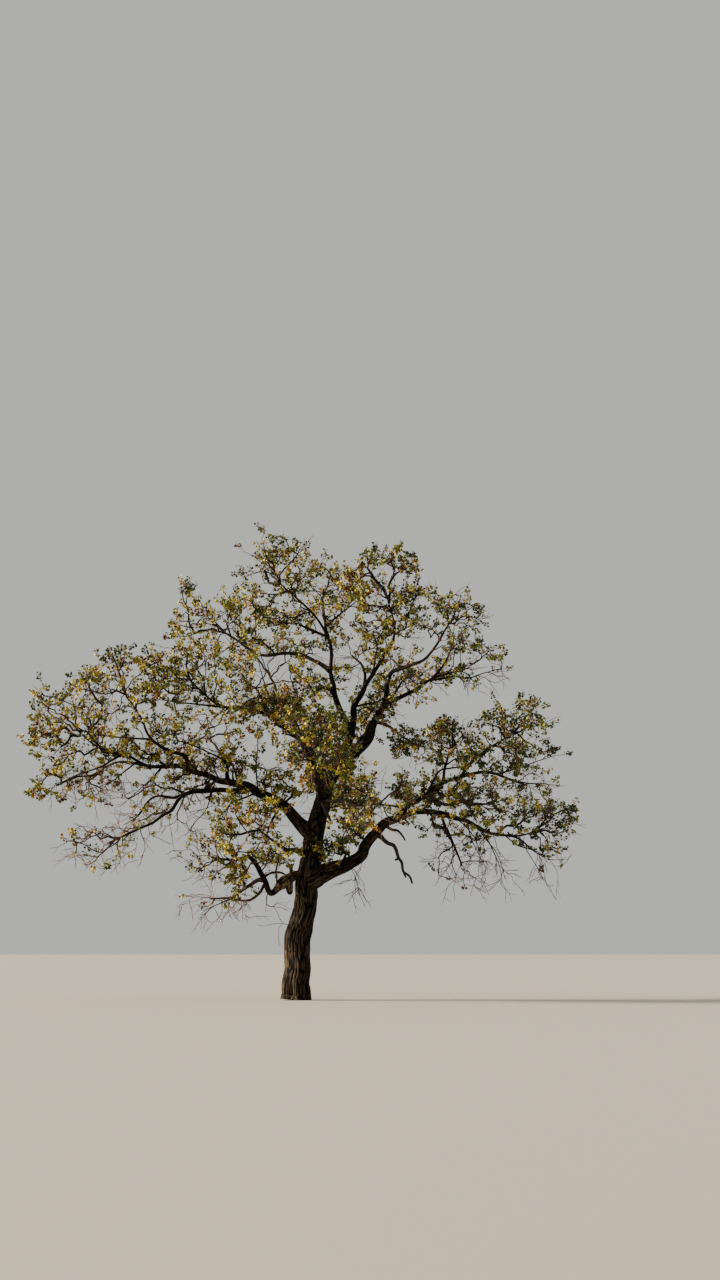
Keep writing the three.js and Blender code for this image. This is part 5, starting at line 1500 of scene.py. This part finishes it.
class CottonwoodBark(bpy.types.PropertyGroup):
    furrow_width: length("Furrow width", "How far apart the furrows of the trunk stand", 0.04)
    furrow_depth: length("Furrow depth", "How deep the furrows of the trunk are", 0.022)
    furrow_stretch: number("Furrow stretch", "How many times as long as wide the ridges are", 6.5)
    mesh_spacing: length("Mesh spacing", "How far apart the corners of the trunk's mesh stand", 0.0148)
    crook: number("Crook", "How far a limb wanders from its line, as a share of its thickness", 1.1)
    ridge_colour: colour("Ridges", "The trunk's corky ridges", "#433a2e")
    warm_colour: colour("Warm patches", "Patches where the cork has flaked", "#433526")
    # Partly painted light: the burl's tan is both bared wood and sunlight on it
    burl_colour: colour("Burl", "Where the burl has shed its cork", "#7d6b52")
    # Painted shade: the boughs' bark is set near black because they stand in shadow against the sky
    shaded_bough_colour: colour("Boughs", "The bark of thinner limbs", "#100d09")
    # Painted shade: near black at the bottom of the furrows and in the checks of the dead wood
    crevice_shade_colour: colour("Furrows", "The bottom of the furrows", "#060504")
    dead_colour: colour("Dead wood", "The limb that has died", "#2a221a")


class CottonwoodTwigs(bpy.types.PropertyGroup):
    shoots_per_m3: number("Shoots per cubic metre", "How many shoots a mass has for its size", 16)
    spray_share: number("Spray share", "The share of the shoots that crowd round the sprays", 0.5)
    clump_size: length("Clump size", "How far apart clumps of foliage lie", 0.75)
    side_shoots: number("Side shoots", "Shoots for each metre of a bough outside its foliage", 7)
    shoot_length: length("Shoot length", "The length of a leafy shoot", 0.24)
    bare_length: length("Bare shoot length", "The length of a leafless shoot", 0.42)
    joint_spacing: length("Joint spacing", "How far apart the joints of a twig lie", 0.2)
    turning: number("Turning", "How much a twig avoids turning back", 0.5)
    strain: number("Strain", "How much a twig avoids a long reach", 0.5)
    crook: number("Crook", "How far a twig wanders, as a share of its length", 0.07)
    tip_radius: length("Tip radius", "The radius of a twig that carries one shoot", 0.0085)
    thickening: number("Thickening", "The power by which wood thickens with the shoots it carries", 0.42)
    branchlet_radius: length("Branchlet radius", "From this radius up a twig has old bark", 0.012)
    # Partly painted shade: branchlets have darker old bark, and are set near black as they stand in the
    # crown's shadow against the sky
    old_and_shaded_colour: colour("Old bark", "The bark of branchlets", "#1a140d")
    young_colour: colour("Young bark", "The bark of twigs", "#5a3c26")


class CottonwoodLeaves(bpy.types.PropertyGroup):
    blade_length: length("Blade length", "The length of a leaf without its stalk", 0.08)
    blade_width: length("Blade width", "The width of a leaf", 0.08)
    stalk_length: length("Stalk length", "The length of a leaf's stalk", 0.04)
    fewest: whole("Fewest leaves", "The fewest leaves on a shoot", 12)
    most: whole("Most leaves", "The most leaves on a shoot", 19)
    one_tint: number("One tint", "The share of a shoot's leaves that have its main tint", 0.82)
    deep_green: colour("Deep green", "Leaves that haven't turned", "#26340f")
    olive: colour("Olive", "Leaves that are losing their green", "#6c7024")
    yellow_olive: colour("Yellow olive", "Leaves half turned", "#a39634")
    gold: colour("Gold", "Leaves that have turned", "#947227")
    russet: colour("Russet", "Leaves that are drying", "#6b4521")
    brown: colour("Brown", "Dry leaves", "#4a3414")


class CottonwoodStage(bpy.types.PropertyGroup):
    floor_size: length("Floor size", "The side of the square floor", 600)
    floor_colour: colour("Floor", "The plain floor", "#a09a90")
    sky_colour: colour("Surround", "The light from all round", "#d9dad6")
    sky_strength: number("Surround strength", "How strong the light from all round is", 0.8)
    sun_strength: number("Key strength", "How strong the key light is", 18)
    sun_colour: colour("Key", "The key light", "#ffeed8")


SETTINGS = (CottonwoodBark, CottonwoodTwigs, CottonwoodLeaves, CottonwoodStage)


def scene_name(kind):
    """What a scene calls its settings of a kind: cottonwood_bark for the bark's."""
    return "cottonwood_" + kind.__name__.removeprefix("Cottonwood").lower()


def settings(context, kind):
    return getattr(context.scene, scene_name(kind))


# Pieces


def finished(piece, slot, *nodes):
    """Ties a piece to the solids that it stands for."""
    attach(piece, BODY)
    if nodes:
        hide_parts(*nodes)


def bark_piece(name, skins, material, slot, *nodes):
    piece = bpy.data.objects.new(name, bark_mesh(name, skins))
    piece.data.materials.append(material)
    bpy.context.collection.objects.link(piece)
    finished(piece, slot, *nodes)


def foliage_nodes(region):
    return [name + "_foliage" for name in REGIONS[region]]


def shared_bark(bark):
    return bpy.data.materials.get("furrowed_cottonwood_bark") or furrowed_bark(bark)


class COTTONWOOD_OT_trunk(bpy.types.Operator):
    """Adds the leaning trunk, with its root flare and its furrowed bark"""

    bl_idname = "cottonwood.trunk"
    bl_label = "Trunk"

    def execute(self, context):
        bark = settings(context, CottonwoodBark)
        limb = solid_limbs()[0]["trunk"]
        # Where the trunk's line rises through the ground, somewhere in its lowest fifth
        foot = np.linspace(0, 0.2, 400)
        ground = float(np.interp(0, limb.curve.at(foot)[:, 2], foot))
        skin = limb_skin(limb, ground, bark, buttressed)
        skin[0][:, 2] = np.maximum(skin[0][:, 2], 0)
        bark_piece("trunk_bark", [skin], shared_bark(bark), "bark", "trunk")
        return {"FINISHED"}


class COTTONWOOD_OT_boughs(bpy.types.Operator):
    """Adds the boughs that spring from the trunk and from each other, and the finer limbs that they bear"""

    bl_idname = "cottonwood.boughs"
    bl_label = "Boughs"

    def execute(self, context):
        bark = settings(context, CottonwoodBark)
        limbs = solid_limbs()[0]
        for region, names in REGIONS.items():
            skins = [limb_skin(limbs[name], 0, bark) for name in names]
            for row in BRANCHES:
                if region_of(row.parent) == region and not row.name.startswith("dead"):
                    skins.append(limb_skin(branch_limb(row, limbs), 0, bark))
            bark_piece(region + "_bough_bark", skins, shared_bark(bark), "bark", *names)
        return {"FINISHED"}


class COTTONWOOD_OT_dead_wood(bpy.types.Operator):
    """Adds the dead limb that hangs under the right bough, and the dead spur beside it"""

    bl_idname = "cottonwood.dead_wood"
    bl_label = "Dead wood"

    def execute(self, context):
        bark = settings(context, CottonwoodBark)
        limbs = solid_limbs()[0]
        spurs = [branch_limb(row, limbs) for row in BRANCHES if row.name.startswith("dead")]
        skins = [limb_skin(limb, 0, bark) for limb in [limbs["dead_limb"], *spurs]]
        bark_piece("dead_limb_wood", skins, dead_wood(bark), "dead_wood", "dead_limb")
        return {"FINISHED"}


def thick_and_thin(lines, least):
    """Parts lines where they first fall under a radius: the thick stretches, and the thin ones that go on."""
    thick, thin = [], []
    for at, radius in lines:
        thin_from = np.flatnonzero(radius < least)
        cut = int(thin_from[0]) if len(thin_from) else len(radius)
        if cut > 1:
            thick.append((at[:cut], radius[:cut]))
        if cut < len(radius):
            rest = slice(max(cut - 1, 0), None)
            thin.append((at[rest], np.minimum(radius[rest], least)))
    return thick, thin


def twig_piece(name, lines, sides, material, tree):
    """One piece of round twigs along lines."""
    points = np.vstack([at for at, _ in lines])
    last = set((np.cumsum([len(at) for at, _ in lines]) - 1).tolist())
    edges = [(i, i + 1) for i in range(len(points) - 1) if i not in last]
    held = {"thickness": ("FLOAT", "value", np.concatenate([radius for _, radius in lines]))}
    piece = grown(name, points, edges, held, tree, {"Sides": sides, "Thickness": 1.0, "Bark": material})
    piece.data.shade_smooth()
    return piece


# What has grown on the boughs, for the leaves to be set on
CROWN = {}


class COTTONWOOD_OT_twigs(bpy.types.Operator):
    """Grows the branchlets and twigs of each part of the crown from its boughs"""

    bl_idname = "cottonwood.twigs"
    bl_label = "Branchlets and twigs"

    def execute(self, context):
        twigs = settings(context, CottonwoodTwigs)
        CROWN["growths"] = grow_crown(twigs)
        tree = twig_tree()
        # What each is called, how many sides it has, and its bark
        kinds = (
            ("branchlets", 5, plain_material("old_branchlet_bark", twigs.old_and_shaded_colour, 0.9)),
            ("twigs", 3, plain_material("young_twig_bark", twigs.young_colour, 0.85)),
        )
        for region in REGIONS:
            lines = [line for growth in CROWN["growths"] if growth.region == region for line in growth.lines]
            groups = thick_and_thin(lines, twigs.branchlet_radius)
            for (kind, sides, material), group in zip(kinds, groups):
                piece = twig_piece(f"{region}_{kind}", group, sides, material, tree)
                finished(piece, "bark", *foliage_nodes(region))
        bpy.data.node_groups.remove(tree)
        return {"FINISHED"}


class COTTONWOOD_OT_leaves(bpy.types.Operator):
    """Sets leaves on the shoots, in the autumn tints of each part of the crown"""

    bl_idname = "cottonwood.leaves"
    bl_label = "Leaves"

    def execute(self, context):
        leaves = settings(context, CottonwoodLeaves)
        tints = [
            plain_material(tint + "_leaf", getattr(leaves, tint), roughness)
            for tint, roughness in LEAF_ROUGHNESS.items()
        ]
        tree = leaf_tree(tints)
        leaf = bpy.data.objects.new("leaf", leaf_mesh(leaves))
        for number, region in enumerate(REGIONS):
            rng = np.random.default_rng(SEEDS["leaves"] + number)
            growths = [growth for growth in CROWN["growths"] if growth.region == region]
            at, turn, size, tint = leaf_places(growths, leaves, rng)
            held = {
                "turn": ("QUATERNION", "value", turn.astype(np.float32)),
                "size": ("FLOAT", "value", size.astype(np.float32)),
                "tint": ("INT", "value", tint.astype(np.int32)),
            }
            piece = grown(region + "_leaves", at, [], held, tree, {"Leaf": leaf, "Leaf scale": 1.0})
            finished(piece, "foliage", *foliage_nodes(region))
        bpy.data.objects.remove(leaf)
        bpy.data.node_groups.remove(tree)
        return {"FINISHED"}


class COTTONWOOD_OT_stage(bpy.types.Operator):
    """Adds the floor, the light and the camera"""

    bl_idname = "cottonwood.stage"
    bl_label = "Floor, light and camera"

    def execute(self, context):
        stage = settings(context, CottonwoodStage)
        half = stage.floor_size / 2
        mesh = bpy.data.meshes.new("floor")
        corners = [(-half, -half, 0), (half, -half, 0), (half, half, 0), (-half, half, 0)]
        mesh.from_pydata(corners, [], [(0, 1, 2, 3)])
        floor = bpy.data.objects.new("floor", mesh)
        floor.data.materials.append(plain_material("pale_floor", stage.floor_colour, 0.9))
        context.collection.objects.link(floor)
        world = bpy.data.worlds.new("soft_surround")
        world.use_nodes = True
        surround = world.node_tree.nodes["Background"]
        surround.inputs["Color"].default_value = (*stage.sky_colour, 1)
        surround.inputs["Strength"].default_value = stage.sky_strength
        context.scene.world = world
        key = bpy.data.objects.new("key_light", bpy.data.lights.new("key_light", "SUN"))
        key.data.energy = stage.sun_strength
        key.data.color = stage.sun_colour
        key.data.angle = math.radians(KEY_LIGHT["angle"])
        key.rotation_euler = [math.radians(turn) for turn in KEY_LIGHT["turn"]]
        context.collection.objects.link(key)
        camera = bpy.data.objects.new("viewer", bpy.data.cameras.new("viewer"))
        camera.data.lens = VIEWER["lens"]
        camera.data.sensor_width = VIEWER["sensor"]
        camera.data.clip_end = VIEWER["far_end"]
        camera.location = (VIEWER["right"], VIEWER["back"], VIEWER["eye"])
        camera.rotation_euler = (math.radians(90 + VIEWER["tilt"]), 0, 0)
        context.collection.objects.link(camera)
        context.scene.camera = camera
        return {"FINISHED"}


PIECES = (
    COTTONWOOD_OT_trunk,
    COTTONWOOD_OT_boughs,
    COTTONWOOD_OT_dead_wood,
    COTTONWOOD_OT_twigs,
    COTTONWOOD_OT_leaves,
    COTTONWOOD_OT_stage,
)


class COTTONWOOD_PT_panel(bpy.types.Panel):
    """Lists the pieces of the tree and the sizes and colours that they are made by"""

    bl_label = "Plains cottonwood"
    bl_space_type = "VIEW_3D"
    bl_region_type = "UI"
    bl_category = "Cottonwood"

    def draw(self, context):
        for piece in PIECES:
            self.layout.operator(piece.bl_idname)
        for kind in SETTINGS:
            for name in kind.__annotations__:
                self.layout.prop(settings(context, kind), name)


def register():
    for kind in (*SETTINGS, *PIECES, COTTONWOOD_PT_panel):
        bpy.utils.register_class(kind)
    for kind in SETTINGS:
        setattr(bpy.types.Scene, scene_name(kind), bpy.props.PointerProperty(type=kind))


def unregister():
    for kind in SETTINGS:
        delattr(bpy.types.Scene, scene_name(kind))
    for kind in reversed((*SETTINGS, *PIECES, COTTONWOOD_PT_panel)):
        bpy.utils.unregister_class(kind)


def main():
    register()
    bpy.ops.cottonwood.trunk()
    bpy.ops.cottonwood.boughs()
    bpy.ops.cottonwood.dead_wood()
    bpy.ops.cottonwood.twigs()
    bpy.ops.cottonwood.leaves()
    bpy.ops.cottonwood.stage()
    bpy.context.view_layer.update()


if __name__ == "__main__":
    main()
